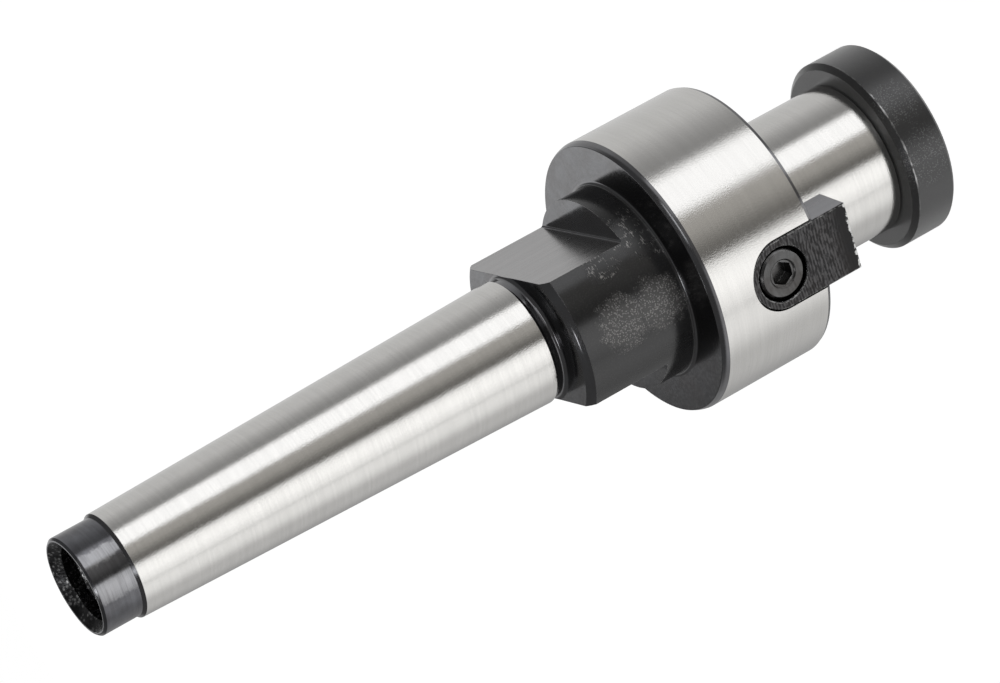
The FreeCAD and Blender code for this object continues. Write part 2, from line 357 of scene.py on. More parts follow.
def hexagon(across: float, corner_turn: float, rounding: float = 0.08) -> list[tuple[float, float]]:
    """Outline of a hexagon with slightly rounded corners.

    Args:
        across: width across the flats.
        corner_turn: turn of the first corner, in radians.
        rounding: share of each side that its rounded corners take.

    Returns:
        The outline's points in order.
    """
    reach = across / math.sqrt(3)
    turns = [corner_turn + FULL_TURN * index / 6 for index in range(6)]
    corners = [Vector((reach * math.cos(turn), reach * math.sin(turn))) for turn in turns]
    close = 0.3 * rounding
    points = []
    for index, corner in enumerate(corners):
        before = corners[index - 1]
        after = corners[(index + 1) % 6]
        for share, other in ((rounding, before), (close, before), (close, after), (rounding, after)):
            point = corner.lerp(other, share)
            points.append((point.x, point.y))
    return points


def stadium(half_width: float, start: float, centre: float) -> list[tuple[float, float]]:
    """Outline of a bar with one square end and one round end, as (along, across) points.

    Args:
        half_width: half the bar's width.
        start: place of the square end.
        centre: centre of the round end.

    Returns:
        The points in order, two of them level with the flange's front face.
    """
    points = [(start, -half_width), (0.0, -half_width)]
    for step in range(END_STEPS + 1):
        turn = -math.pi / 2 + math.pi * step / END_STEPS
        points.append((centre + half_width * math.cos(turn), half_width * math.sin(turn)))
    points.extend(((0.0, half_width), (start, half_width)))
    return points


def settle(piece: bpy.types.Object, body: Body, node: str) -> None:
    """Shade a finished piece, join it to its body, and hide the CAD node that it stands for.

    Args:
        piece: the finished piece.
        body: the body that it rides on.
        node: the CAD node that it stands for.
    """
    piece.data.validate()
    piece.data.set_sharp_from_angle(angle=SHARP_ANGLE)
    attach(piece, body.value)
    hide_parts(node)
    log.info("built %s with %d faces", piece.name, len(piece.data.polygons))


# Shader nodes


class Sheet:
    """A node tree with short calls for the nodes that the finishes use."""

    def __init__(self, tree: bpy.types.NodeTree) -> None:
        """Keep the tree."""
        self.tree = tree

    def add(self, kind: str, **settings: object) -> bpy.types.Node:
        """Add a node and set its named properties.

        Args:
            kind: the node's type.
            settings: its properties by name.

        Returns:
            The node.
        """
        node = self.tree.nodes.new(kind)
        for name, value in settings.items():
            setattr(node, name, value)
        return node

    def feed(self, socket: Socket, value: object) -> None:
        """Link a socket to another, or set its value.

        Args:
            socket: the input that is fed.
            value: an output to link, or a plain value.
        """
        if isinstance(value, Socket):
            self.tree.links.new(value, socket)
        elif isinstance(value, tuple) and len(value) == 3 and socket.type == "RGBA":
            socket.default_value = (*value, 1.0)
        else:
            socket.default_value = value

    def math(self, operation: str, *values: object, clamp: bool = False) -> Socket:
        """Work out one step of arithmetic.

        Args:
            operation: the node's operation.
            values: its inputs in order.
            clamp: whether the result is kept from 0 to 1.

        Returns:
            The result.
        """
        node = self.add("ShaderNodeMath", operation=operation, use_clamp=clamp)
        for socket, value in zip(node.inputs, values):
            self.feed(socket, value)
        return node.outputs[0]

    def times(self, first: object, second: object, clamp: bool = False) -> Socket:
        """Multiply two values."""
        return self.math("MULTIPLY", first, second, clamp=clamp)

    def plus(self, first: object, second: object) -> Socket:
        """Add two values."""
        return self.math("ADD", first, second)

    def most(self, first: object, second: object, clamp: bool = False) -> Socket:
        """The higher of two values."""
        return self.math("MAXIMUM", first, second, clamp=clamp)

    def place(self) -> Socket:
        """Where a point of the surface lies in the frame."""
        return self.add("ShaderNodeTexCoord").outputs["Object"]

    def parts(self, vector: Socket) -> list[Socket]:
        """A vector's three parts.

        Args:
            vector: the vector.

        Returns:
            The x, y and z parts.
        """
        node = self.add("ShaderNodeSeparateXYZ")
        self.feed(node.inputs[0], vector)
        return list(node.outputs)

    def joined(self, *parts: object) -> Socket:
        """A vector made of its parts, the last of them 0 where it isn't given.

        Args:
            parts: the x, y and z parts.

        Returns:
            The vector.
        """
        node = self.add("ShaderNodeCombineXYZ")
        for socket, part in zip(node.inputs, parts):
            self.feed(socket, part)
        return node.outputs[0]

    def length(self, vector: Socket) -> Socket:
        """A vector's length.

        Args:
            vector: the vector.

        Returns:
            The length.
        """
        node = self.add("ShaderNodeVectorMath", operation="LENGTH")
        self.feed(node.inputs[0], vector)
        return node.outputs["Value"]

    def scaled(self, vector: Socket, scale: Triple) -> Socket:
        """Multiply a vector's three parts.

        Args:
            vector: the vector.
            scale: a factor for each part.

        Returns:
            The scaled vector.
        """
        node = self.add("ShaderNodeVectorMath", operation="MULTIPLY")
        self.feed(node.inputs[0], vector)
        node.inputs[1].default_value = scale
        return node.outputs[0]

    def spread(
        self, value: object, low: object, high: object, to_low: object = 0.0, to_high: object = 1.0
    ) -> Socket:
        """Map a range smoothly onto another.

        Args:
            value: the value that is mapped.
            low: start of its range.
            high: end of its range.
            to_low: what the start is mapped to.
            to_high: what the end is mapped to.

        Returns:
            The mapped value, which doesn't leave the new range.
        """
        node = self.add("ShaderNodeMapRange", interpolation_type="SMOOTHSTEP")
        for socket, item in zip(node.inputs, (value, low, high, to_low, to_high)):
            self.feed(socket, item)
        return node.outputs[0]

    def noise(self, vector: Socket, scale: object, detail: float = 3.0, roughness: float = 0.55) -> Socket:
        """Noise over a vector.

        Args:
            vector: the coordinates.
            scale: how many features fit in a metre.
            detail: how many finer layers it has.
            roughness: how strong they are.

        Returns:
            The noise, from 0 to 1.
        """
        node = self.add("ShaderNodeTexNoise")
        self.feed(node.inputs["Vector"], vector)
        self.feed(node.inputs["Scale"], scale)
        node.inputs["Detail"].default_value = detail
        node.inputs["Roughness"].default_value = roughness
        return node.outputs["Fac"]

    def blend(self, share: object, first: object, second: object) -> Socket:
        """Blend two colours.

        Args:
            share: share of the second colour.
            first: the first colour.
            second: the second colour.

        Returns:
            The blended colour.
        """
        node = self.add("ShaderNodeMix", data_type="RGBA")
        self.feed(node.inputs["Factor"], share)
        colours = [socket for socket in node.inputs if socket.type == "RGBA"]
        self.feed(colours[0], first)
        self.feed(colours[1], second)
        return next(socket for socket in node.outputs if socket.type == "RGBA")

    def mix(self, share: object, first: object, second: object) -> Socket:
        """Blend two values.

        Args:
            share: share of the second value.
            first: the first value.
            second: the second value.

        Returns:
            The blended value.
        """
        node = self.add("ShaderNodeMix", data_type="FLOAT")
        self.feed(node.inputs[0], share)
        self.feed(node.inputs[2], first)
        self.feed(node.inputs[3], second)
        return node.outputs[0]

    def bump(self, height: object, distance: float, strength: float, normal: Socket | None = None) -> Socket:
        """A normal roughened by a height.

        Args:
            height: the height, from 0 to 1.
            distance: what a height of 1 stands for, in metres.
            strength: how strongly it counts.
            normal: the normal that it starts from.

        Returns:
            The normal.
        """
        node = self.add("ShaderNodeBump")
        node.inputs["Strength"].default_value = strength
        node.inputs["Distance"].default_value = distance
        self.feed(node.inputs["Height"], height)
        if normal:
            self.feed(node.inputs["Normal"], normal)
        return node.outputs["Normal"]

    def group(self, tree: bpy.types.NodeTree, **values: object) -> dict[str, Socket]:
        """Place a node group with its own values.

        Args:
            tree: the node group.
            values: the group's inputs, with underscores for spaces.

        Returns:
            The group's outputs by name.
        """
        node = self.add("ShaderNodeGroup", node_tree=tree)
        for name, value in values.items():
            self.feed(node.inputs[name.replace("_", " ")], value)
        return {socket.name: socket for socket in node.outputs}


def new_group(
    name: str, inputs: dict[str, float], outputs: dict[str, str]
) -> tuple[bpy.types.NodeTree, Sheet, dict[str, Socket], bpy.types.Node]:
    """Start a node group.

    Args:
        name: the group's name.
        inputs: its number inputs with their first values.
        outputs: its outputs with their kinds, Float, Vector or Color.

    Returns:
        The tree, its sheet, its inputs by name, and its output node.
    """
    tree = bpy.data.node_groups.new(name, "ShaderNodeTree")
    for label, value in inputs.items():
        socket = tree.interface.new_socket(label, in_out="INPUT", socket_type="NodeSocketFloat")
        socket.default_value = value
    for label, kind in outputs.items():
        tree.interface.new_socket(label, in_out="OUTPUT", socket_type=f"NodeSocket{kind}")
    sheet = Sheet(tree)
    start = sheet.add("NodeGroupInput")
    end = sheet.add("NodeGroupOutput")
    return tree, sheet, {label: start.outputs[label] for label in inputs}, end


class Effects:
    """The node groups that the finishes share, each built once."""

    def __init__(self) -> None:
        """Build every group."""
        self.lathe_grain = self._lathe_grain()
        self.edge_wear = self._edge_wear()
        self.specks = self._specks()
        self.mottle = self._mottle()
        self.scratches = self._scratches()
        self.wear_and_highlight_place = self._wear_and_highlight_place()
        self.worn_line = self._worn_line()

    @staticmethod
    def _turned_place(sheet: Sheet, around: object, across: object) -> Socket:
        """Coordinates that run slowly round the axis and fast along it, on walls and end faces alike.

        Args:
            sheet: the tree to build in.
            around: scale round the axis.
            across: scale along the axis and outward.

        Returns:
            The coordinate vector.
        """
        x, y, z = sheet.parts(sheet.place())
        run = sheet.plus(z, sheet.length(sheet.joined(x, y)))
        return sheet.joined(sheet.times(x, around), sheet.times(y, around), sheet.times(run, across))

    def _lathe_grain(self) -> bpy.types.NodeTree:
        """Fine marks round the axis, as turning and grinding leave them.

        Returns:
            The group's tree.
        """
        tree, sheet, given, end = new_group(
            "lathe_grain",
            {"Around": 60.0, "Across": 2500.0, "Band": 260.0},
            {"Height": "Float", "Streaks": "Float"},
        )
        fine = sheet.noise(self._turned_place(sheet, given["Around"], given["Across"]), 1.0, 4.0, 0.7)
        broad = sheet.noise(self._turned_place(sheet, given["Around"], given["Band"]), 1.0, 3.0, 0.6)
        sheet.feed(end.inputs["Height"], sheet.plus(fine, sheet.times(broad, 0.5)))
        sheet.feed(end.inputs["Streaks"], sheet.mix(0.45, fine, broad))
        return tree

    def _edge_wear(self) -> bpy.types.NodeTree:
        """Rounded edges as a normal, and a ragged mask of where the finish has worn off them.

        Returns:
            The group's tree.
        """
        tree, sheet, given, end = new_group(
            "edge_wear",
            {"Radius": 0.0001, "Wear": 0.5, "Break up": 900.0},
            {"Normal": "Vector", "Mask": "Float"},
        )
        bevel = sheet.add("ShaderNodeBevel", samples=6)
        sheet.feed(bevel.inputs["Radius"], given["Radius"])
        dot = sheet.add("ShaderNodeVectorMath", operation="DOT_PRODUCT")
        sheet.feed(dot.inputs[0], bevel.outputs["Normal"])
        sheet.feed(dot.inputs[1], sheet.add("ShaderNodeNewGeometry").outputs["Normal"])
        bend = sheet.spread(dot.outputs["Value"], 0.995, 0.9)
        ragged = sheet.spread(sheet.noise(sheet.place(), given["Break up"], 4.0, 0.7), 0.42, 0.62)
        sheet.feed(end.inputs["Normal"], bevel.outputs["Normal"])
        sheet.feed(end.inputs["Mask"], sheet.times(sheet.times(bend, ragged), given["Wear"], clamp=True))
        return tree

    def _specks(self) -> bpy.types.NodeTree:
        """Sparse round dots, such as dust, pits and tiny dents.

        Returns:
            The group's tree.
        """
        tree, sheet, given, end = new_group(
            "specks", {"Scale": 900.0, "Size": 0.12, "Share": 0.3}, {"Mask": "Float"}
        )
        cells = sheet.add("ShaderNodeTexVoronoi")
        sheet.feed(cells.inputs["Vector"], sheet.place())
        sheet.feed(cells.inputs["Scale"], given["Scale"])
        dot = sheet.spread(cells.outputs["Distance"], given["Size"], 0.0)
        chosen = sheet.math("LESS_THAN", sheet.parts(cells.outputs["Color"])[0], given["Share"])
        sheet.feed(end.inputs["Mask"], sheet.times(dot, chosen))
        return tree

    def _mottle(self) -> bpy.types.NodeTree:
        """Uneven cloudy patches at two scales, as blackening leaves them.

        Returns:
            The group's tree.
        """
        tree, sheet, given, end = new_group(
            "mottle", {"Broad": 120.0, "Fine": 1400.0}, {"Cloud": "Float", "Grain": "Float"}
        )
        place = sheet.place()
        cloud = sheet.noise(place, given["Broad"], 5.0, 0.6)
        grain = sheet.noise(place, given["Fine"], 2.0, 0.6)
        sheet.feed(end.inputs["Cloud"], sheet.spread(cloud, 0.35, 0.68))
        sheet.feed(end.inputs["Grain"], sheet.spread(grain, 0.35, 0.7))
        return tree

    def _scratches(self) -> bpy.types.NodeTree:
        """Thin sparse scratches at two slants.

        Returns:
            The group's tree.
        """
        tree, sheet, given, end = new_group(
            "scratches", {"Scale": 300.0, "Share": 0.2}, {"Mask": "Float"}
        )
        place = sheet.place()
        masks = []
        for turn, stretch in (((0.5, 0.3, 0.2), (1.0, 0.03, 1.0)), ((1.3, 0.9, 2.1), (0.02, 1.0, 1.0))):
            mapping = sheet.add("ShaderNodeMapping")
            sheet.feed(mapping.inputs["Vector"], place)
            mapping.inputs["Rotation"].default_value = turn
            mapping.inputs["Scale"].default_value = stretch
            line = sheet.noise(mapping.outputs[0], given["Scale"], 2.0, 0.5)
            cut_off = sheet.math("SUBTRACT", 0.86, sheet.times(given["Share"], 0.3))
            masks.append(sheet.spread(line, cut_off, sheet.plus(cut_off, 0.05)))
        sheet.feed(end.inputs["Mask"], sheet.most(masks[0], masks[1]))
        return tree

    def _wear_and_highlight_place(self) -> bpy.types.NodeTree:
        """A patch with a ragged edge round one place of the surface.

        Returns:
            The group's tree.
        """
        tree, sheet, given, end = new_group(
            "wear_and_highlight_place",
            {"X": 0.0, "Y": 0.0, "Z": 0.0, "Reach": 0.004, "Ragged": 0.006, "Along": 1.0},
            {"Mask": "Float"},
        )
        place = sheet.place()
        x, y, z = sheet.parts(place)
        gap_x = sheet.math("SUBTRACT", x, given["X"])
        gap_y = sheet.math("SUBTRACT", y, given["Y"])
        gap_z = sheet.math("DIVIDE", sheet.math("SUBTRACT", z, given["Z"]), given["Along"])
        rough = sheet.math("SUBTRACT", sheet.noise(place, 500.0, 6.0, 0.75), 0.5)
        away = sheet.length(sheet.joined(gap_x, gap_y, gap_z))
        away = sheet.plus(away, sheet.times(rough, given["Ragged"]))
        sheet.feed(end.inputs["Mask"], sheet.spread(away, given["Reach"], sheet.times(given["Reach"], 0.6)))
        return tree

    def _worn_line(self) -> bpy.types.NodeTree:
        """A thin broken line round the surface at one height along the axis.

        Returns:
            The group's tree.
        """
        tree, sheet, given, end = new_group(
            "worn_line", {"Height": 0.0, "Reach": 0.0002, "Break up": 900.0}, {"Mask": "Float"}
        )
        place = sheet.place()
        ragged = sheet.noise(place, given["Break up"], 4.0, 0.7)
        away = sheet.math("ABSOLUTE", sheet.math("SUBTRACT", sheet.parts(place)[2], given["Height"]))
        reach = sheet.times(given["Reach"], sheet.spread(ragged, 0.4, 0.65, 0.1, 1.6))
        line = sheet.spread(away, reach, sheet.times(reach, 0.4))
        sheet.feed(end.inputs["Mask"], sheet.times(line, sheet.spread(ragged, 0.4, 0.5)))
        return tree


# Finishes


@dataclass(frozen=True)
class WearAndHighlightPlace:
    """A place where a finish is worn or where a painted highlight is laid, by its turn, radius and height in
    degrees and millimetres.
    """

    turn: float
    radius: float
    height: float
    reach: float
    ragged: float = 6.0
    along: float = 1.0

    def mask(self, sheet: Sheet, effects: Effects) -> Socket:
        """The patch, worn or painted highlight, as a value from 0 to 1.

        Args:
            sheet: the tree to build in.
            effects: the shared effects.

        Returns:
            The mask.
        """
        angle = math.radians(self.turn)
        group = sheet.group(
            effects.wear_and_highlight_place,
            X=self.radius * math.cos(angle) * MM,
            Y=self.radius * math.sin(angle) * MM,
            Z=self.height * MM,
            Reach=self.reach * MM,
            Ragged=self.ragged * MM,
            Along=self.along,
        )
        return group["Mask"]


def wear_and_highlight_at(places: Sequence[WearAndHighlightPlace], sheet: Sheet, effects: Effects) -> object:
    """The patches of several places, worn or painted highlight, as one mask.

    Args:
        places: where the finish is worn or a painted highlight is laid.
        sheet: the tree to build in.
        effects: the shared effects.

    Returns:
        The highest of the places' masks, or 0 where there is no place.
    """
    mask = 0.0
    for place in places:
        mask = sheet.most(mask, place.mask(sheet, effects))
    return mask


@dataclass(frozen=True)
class Finish:
    """What every finish has: a name, its colour and how rough it is."""

    name: str
    colour: Colour
    roughness: float

    def start(self, metallic: float) -> tuple[bpy.types.Material, Sheet, bpy.types.Node]:
        """Make the material with its shader.

        Args:
            metallic: how metallic the surface is.

        Returns:
            The material, its sheet and its shader node.
        """
        material = bpy.data.materials.new(self.name)
        material.use_nodes = True
        material.node_tree.nodes.clear()
        sheet = Sheet(material.node_tree)
        shader = sheet.add("ShaderNodeBsdfPrincipled")
        shader.inputs["Metallic"].default_value = metallic
        output = sheet.add("ShaderNodeOutputMaterial")
        sheet.feed(output.inputs["Surface"], shader.outputs[0])
        material.diffuse_color = (*self.colour, 1.0)
        return material, sheet, shader

    def toned(self, factor: float) -> Colour:
        """The finish's colour made lighter or darker."""
        return tuple(min(part * factor, 1.0) for part in self.colour)


@dataclass(frozen=True)
class GroundSteel(Finish):
    """Bright steel ground round the axis, with fine grain, faint scratches and specks."""

    grain: float = 0.5
    peel: float = 1.8
    streak_contrast: float = 0.05

    def build(self, effects: Effects) -> bpy.types.Material:
        """Build the material.

        Args:
            effects: the shared effects.

        Returns:
            The material.
        """
        material, sheet, shader = self.start(1.0)
        grain = sheet.group(effects.lathe_grain, Around=70.0, Across=3600.0, Band=900.0)
        cloud = sheet.group(effects.mottle, Broad=90.0, Fine=5600.0)
        scratch = sheet.group(effects.scratches, Scale=420.0, Share=0.25)
        speck = sheet.group(effects.specks, Scale=420.0, Size=0.07, Share=0.10)
        wear = sheet.group(effects.edge_wear, Radius=0.00008, Wear=1.0)
        low = self.toned(1 - self.streak_contrast)
        high = self.toned(1 + self.streak_contrast * 0.6)
        colour = sheet.blend(sheet.spread(grain["Streaks"], 0.3, 0.7), low, high)
        colour = sheet.blend(sheet.times(cloud["Grain"], 0.10), colour, self.toned(0.7))
        colour = sheet.blend(sheet.times(speck["Mask"], 0.55), colour, self.toned(0.35))
        sheet.feed(shader.inputs["Base Color"], colour)
        rough = sheet.plus(self.roughness - 0.02, sheet.times(grain["Streaks"], 0.04))
        rough = sheet.plus(rough, sheet.times(scratch["Mask"], 0.12))
        sheet.feed(shader.inputs["Roughness"], rough)
        height = sheet.plus(grain["Height"], sheet.times(cloud["Grain"], self.peel))
        normal = sheet.bump(height, 0.000004, self.grain, wear["Normal"])
        sheet.feed(shader.inputs["Normal"], normal)
        return material


@dataclass(frozen=True)
class BlackOxide(Finish):
    """Glossy blue-black oxide on turned steel, patchy, with thin bright wear along its edges, and painted
    highlights: lighter patches set where the light boxes reflect.
    """

    patch_gain: float = 0.07
    streak_share: float = 0.08
    streak_gain: float = 1.9
    stain_share: float = 0.15
    wear: float = 0.45
    wear_and_highlight: Colour = (0.42, 0.42, 0.43)
    brown: Colour = (0.10, 0.075, 0.06)
    painted_highlight_places: tuple[WearAndHighlightPlace, ...] = ()
    painted_highlight_share: float = 0.25

    def build(self, effects: Effects) -> bpy.types.Material:
        """Build the material.

        Args:
            effects: the shared effects.

        Returns:
            The material.
        """
        material, sheet, shader = self.start(1.0)
        grain = sheet.group(effects.lathe_grain, Around=90.0, Across=2400.0, Band=500.0)
        cloud = sheet.group(effects.mottle, Broad=260.0, Fine=2200.0)
        wear = sheet.group(effects.edge_wear, Radius=0.00010, Wear=self.wear)
        scratch = sheet.group(effects.scratches, Scale=520.0, Share=0.3)
        colour = sheet.blend(cloud["Cloud"], self.toned(1 - self.patch_gain), self.toned(1 + self.patch_gain))
        streaks = sheet.times(sheet.spread(grain["Streaks"], 0.42, 0.62), self.streak_share)
        colour = sheet.blend(streaks, colour, self.toned(self.streak_gain))
        stain = sheet.times(sheet.math("SUBTRACT", 1.0, cloud["Cloud"]), self.stain_share)
        colour = sheet.blend(stain, colour, self.brown)
        # painted highlight: a lighter base colour, broken into streaks, in patches set where the light boxes
        # reflect
        painted_highlight_streaks = sheet.times(sheet.spread(grain["Streaks"], 0.3, 0.6, 0.4, 1.0), self.painted_highlight_share)
        for place in self.painted_highlight_places:
            colour = sheet.blend(sheet.times(place.mask(sheet, effects), painted_highlight_streaks), colour, self.wear_and_highlight)
        colour = sheet.blend(sheet.times(scratch["Mask"], 0.5), colour, self.wear_and_highlight)
        colour = sheet.blend(wear["Mask"], colour, self.wear_and_highlight)
        sheet.feed(shader.inputs["Base Color"], colour)
        swing = 2 * self.patch_gain * self.roughness
        rough = sheet.mix(cloud["Cloud"], self.roughness + swing, self.roughness - swing / 2)
        rough = sheet.plus(rough, sheet.times(cloud["Grain"], 0.05))
        sheet.feed(shader.inputs["Roughness"], rough)
        height = sheet.plus(grain["Height"], sheet.times(cloud["Grain"], 0.5))
        sheet.feed(shader.inputs["Normal"], sheet.bump(height, 0.000003, 0.5, wear["Normal"]))
        return material


@dataclass(frozen=True)
class GrainyBlack(Finish):
    """Black oxide over turned steel, with short bright scratches near its root and a grainy patch of bare
    grains, partly real grain and partly painted highlight, set where a light box reflects.
    """

    bare: Colour = (0.34, 0.33, 0.32)
    grainy_highlight_places: tuple[WearAndHighlightPlace, ...] = ()
    scratched_places: tuple[WearAndHighlightPlace, ...] = ()

    def build(self, effects: Effects) -> bpy.types.Material:
        """Build the material.

        Args:
            effects: the shared effects.

        Returns:
            The material.
        """
        material, sheet, shader = self.start(0.0)
        shader.inputs["IOR"].default_value = 1.55
        grain = sheet.group(effects.lathe_grain, Around=1300.0, Across=7000.0, Band=900.0)
        cloud = sheet.group(effects.mottle, Broad=150.0, Fine=5200.0)
        wear = sheet.group(effects.edge_wear, Radius=0.00015, Wear=0.8)
        scratch = sheet.group(effects.scratches, Scale=420.0, Share=0.3)
        speck = sheet.group(effects.specks, Scale=4200.0, Size=0.62, Share=0.75)
        # painted highlight in part: bare metallic grains are dense in the patches set where a light box
        # reflects and sparse elsewhere; the grain itself is real texture
        grainy_highlight = wear_and_highlight_at(self.grainy_highlight_places, sheet, effects)
        scratched = wear_and_highlight_at(self.scratched_places, sheet, effects)
        colour = sheet.blend(cloud["Cloud"], self.toned(0.8), self.toned(1.2))
        grains = sheet.times(speck["Mask"], sheet.mix(grainy_highlight, 0.012, 0.42))
        grains = sheet.most(grains, sheet.times(grainy_highlight, 0.05))
        dashes = sheet.times(sheet.spread(grain["Streaks"], 0.56, 0.63), 0.8)
        bare = sheet.most(grains, sheet.times(scratch["Mask"], 0.7))
        bare = sheet.most(bare, sheet.times(dashes, scratched))
        bare = sheet.most(bare, wear["Mask"], clamp=True)
        shown = sheet.times(bare, 4.0, clamp=True)
        sheet.feed(shader.inputs["Base Color"], sheet.blend(shown, colour, self.bare))
        sheet.feed(shader.inputs["Metallic"], bare)
        rough = sheet.mix(grainy_highlight, self.roughness, self.roughness * 1.6)
        sheet.feed(shader.inputs["Roughness"], sheet.mix(scratched, rough, self.roughness * 1.8))
        roughened = sheet.times(cloud["Grain"], sheet.mix(grainy_highlight, 0.4, 2.5))
        height = sheet.plus(grain["Height"], roughened)
        sheet.feed(shader.inputs["Normal"], sheet.bump(height, 0.000004, 0.8, wear["Normal"]))
        return material


@dataclass(frozen=True)
class SatinBlack(Finish):
    """Satin phosphate black on the clamping screw, with bright worn edges and speckled patches, partly real
    wear and partly painted highlight, set where the light boxes reflect.
    """

    bare: Colour = (0.55, 0.55, 0.55)
    worn_and_highlight_places: tuple[WearAndHighlightPlace, ...] = ()
    worn_edge: float = -20.15

    def build(self, effects: Effects) -> bpy.types.Material:
        """Build the material.

        Args:
            effects: the shared effects.

        Returns:
            The material.
        """
        material, sheet, shader = self.start(0.0)
        shader.inputs["IOR"].default_value = 1.4
        shader.inputs["Sheen Weight"].default_value = 0.35
        shader.inputs["Sheen Roughness"].default_value = 0.5
        shader.inputs["Coat Weight"].default_value = 1.0
        shader.inputs["Coat Roughness"].default_value = 0.3
        cloud = sheet.group(effects.mottle, Broad=150.0, Fine=6000.0)
        speck = sheet.group(effects.specks, Scale=5000.0, Size=0.6, Share=0.6)
        line = sheet.group(effects.worn_line, Height=self.worn_edge * MM, Reach=0.00013, Break_up=600.0)
        wear = sheet.group(effects.edge_wear, Radius=0.00022, Wear=0.95)
        # painted highlight in part: bare speckles and the worn edge line are dense and bright in the patches
        # set where the light boxes reflect
        speckled_highlight_patches = wear_and_highlight_at(self.worn_and_highlight_places, sheet, effects)
        grain = sheet.group(effects.lathe_grain, Around=70.0, Across=1500.0, Band=300.0)
        colour = sheet.blend(cloud["Cloud"], self.toned(0.75), self.toned(1.35))
        wear_and_highlight = sheet.times(speck["Mask"], sheet.mix(speckled_highlight_patches, 0.03, 0.45))
        wear_and_highlight = sheet.most(wear_and_highlight, sheet.times(line["Mask"], sheet.mix(speckled_highlight_patches, 0.15, 0.9)))
        wear_and_highlight = sheet.most(wear_and_highlight, wear["Mask"])
        sheet.feed(shader.inputs["Base Color"], sheet.blend(wear_and_highlight, colour, self.bare))
        sheet.feed(shader.inputs["Metallic"], wear_and_highlight)
        rough = sheet.mix(cloud["Grain"], self.roughness * 0.9, self.roughness * 1.15)
        sheet.feed(shader.inputs["Roughness"], rough)
        height = sheet.plus(cloud["Grain"], sheet.times(grain["Height"], 0.5))
        sheet.feed(shader.inputs["Normal"], sheet.bump(height, 0.000016, 0.7, wear["Normal"]))
        return material


@dataclass(frozen=True)
class MilledSteel(Finish):
    """Milled steel with cutter marks in one direction, worn bright along its edges, with an optional thin
    bright line at one height along the axis.
    """

    marks: Marks = Marks.RIDGES
    marks_scale: float = 900.0
    ridge_pitch: float = 0.00046
    ridge_bow: float = 14.0
    marks_depth: float = 0.000015
    contrast: float = 0.35
    bare: Colour = (0.7, 0.7, 0.69)
    brown: Colour = (0.05, 0.038, 0.03)
    brown_share: float = 0.0
    smooth_band: tuple[float, float] | None = None
    wear: float = 0.9
    edge_radius: float = 0.0001
    edge_line_height: float | None = None
    edge_line_share: float = 0.9

    def marked(self, sheet: Sheet, place: Socket) -> Socket:
        """The height of the face's marks.

        Args:
            sheet: the tree to build in.
            place: the object's own coordinates.

        Returns:
            The marks as a value from 0 to 1.
        """
        if self.marks is Marks.BRUSHED:
            return sheet.noise(sheet.scaled(place, (1.0, 1.0, 0.04)), self.marks_scale, 3.0, 0.6)
        across, along = sheet.parts(place)[1:]
        bow = sheet.times(sheet.times(across, across), self.ridge_bow)
        wobble = sheet.times(sheet.noise(place, 300.0), self.ridge_pitch * 0.8)
        along = sheet.plus(sheet.plus(along, bow), wobble)
        wave = sheet.math("SINE", sheet.times(along, FULL_TURN / self.ridge_pitch))
        even = sheet.math("MULTIPLY_ADD", wave, 0.5, 0.5)
        rough = sheet.noise(sheet.scaled(place, (0.35, 0.35, 1.0)), self.marks_scale, 3.0, 0.6)
        return sheet.mix(0.6, even, sheet.spread(rough, 0.35, 0.65))

    def build(self, effects: Effects) -> bpy.types.Material:
        """Build the material.

        Args:
            effects: the shared effects.

        Returns:
            The material.
        """
        material, sheet, shader = self.start(1.0)
        place = sheet.place()
        marks = self.marked(sheet, place)
        cloud = sheet.group(effects.mottle, Broad=240.0, Fine=2600.0)
        wear = sheet.group(effects.edge_wear, Radius=self.edge_radius, Wear=self.wear, Break_up=1500.0)
        speck = sheet.group(effects.specks, Scale=1300.0, Size=0.2, Share=0.14)
        lines = sheet.spread(marks, 0.2, 0.9)
        if self.smooth_band:
            lines = sheet.times(lines, sheet.spread(sheet.parts(place)[2], *self.smooth_band))
        colour = sheet.blend(lines, self.toned(1 - self.contrast), self.toned(1 + self.contrast))
        colour = sheet.blend(sheet.times(cloud["Cloud"], self.brown_share), colour, self.brown)
        colour = sheet.blend(sheet.times(speck["Mask"], 0.35), colour, self.bare)
        colour = sheet.blend(wear["Mask"], colour, self.bare)
        # a thin line in bare steel colour along the key's front edge
        if self.edge_line_height is not None:
            edge = self.edge_line_height * MM
            bright_edge_line = sheet.group(effects.worn_line, Height=edge, Reach=0.00024, Break_up=1500.0)
            colour = sheet.blend(sheet.times(bright_edge_line["Mask"], self.edge_line_share), colour, self.bare)
        sheet.feed(shader.inputs["Base Color"], colour)
        rough = sheet.mix(lines, self.roughness * 1.15, self.roughness * 0.85)
        sheet.feed(shader.inputs["Roughness"], rough)
        height = sheet.plus(marks, sheet.times(cloud["Grain"], 0.3))
        sheet.feed(shader.inputs["Normal"], sheet.bump(height, self.marks_depth, 0.8, wear["Normal"]))
        return material


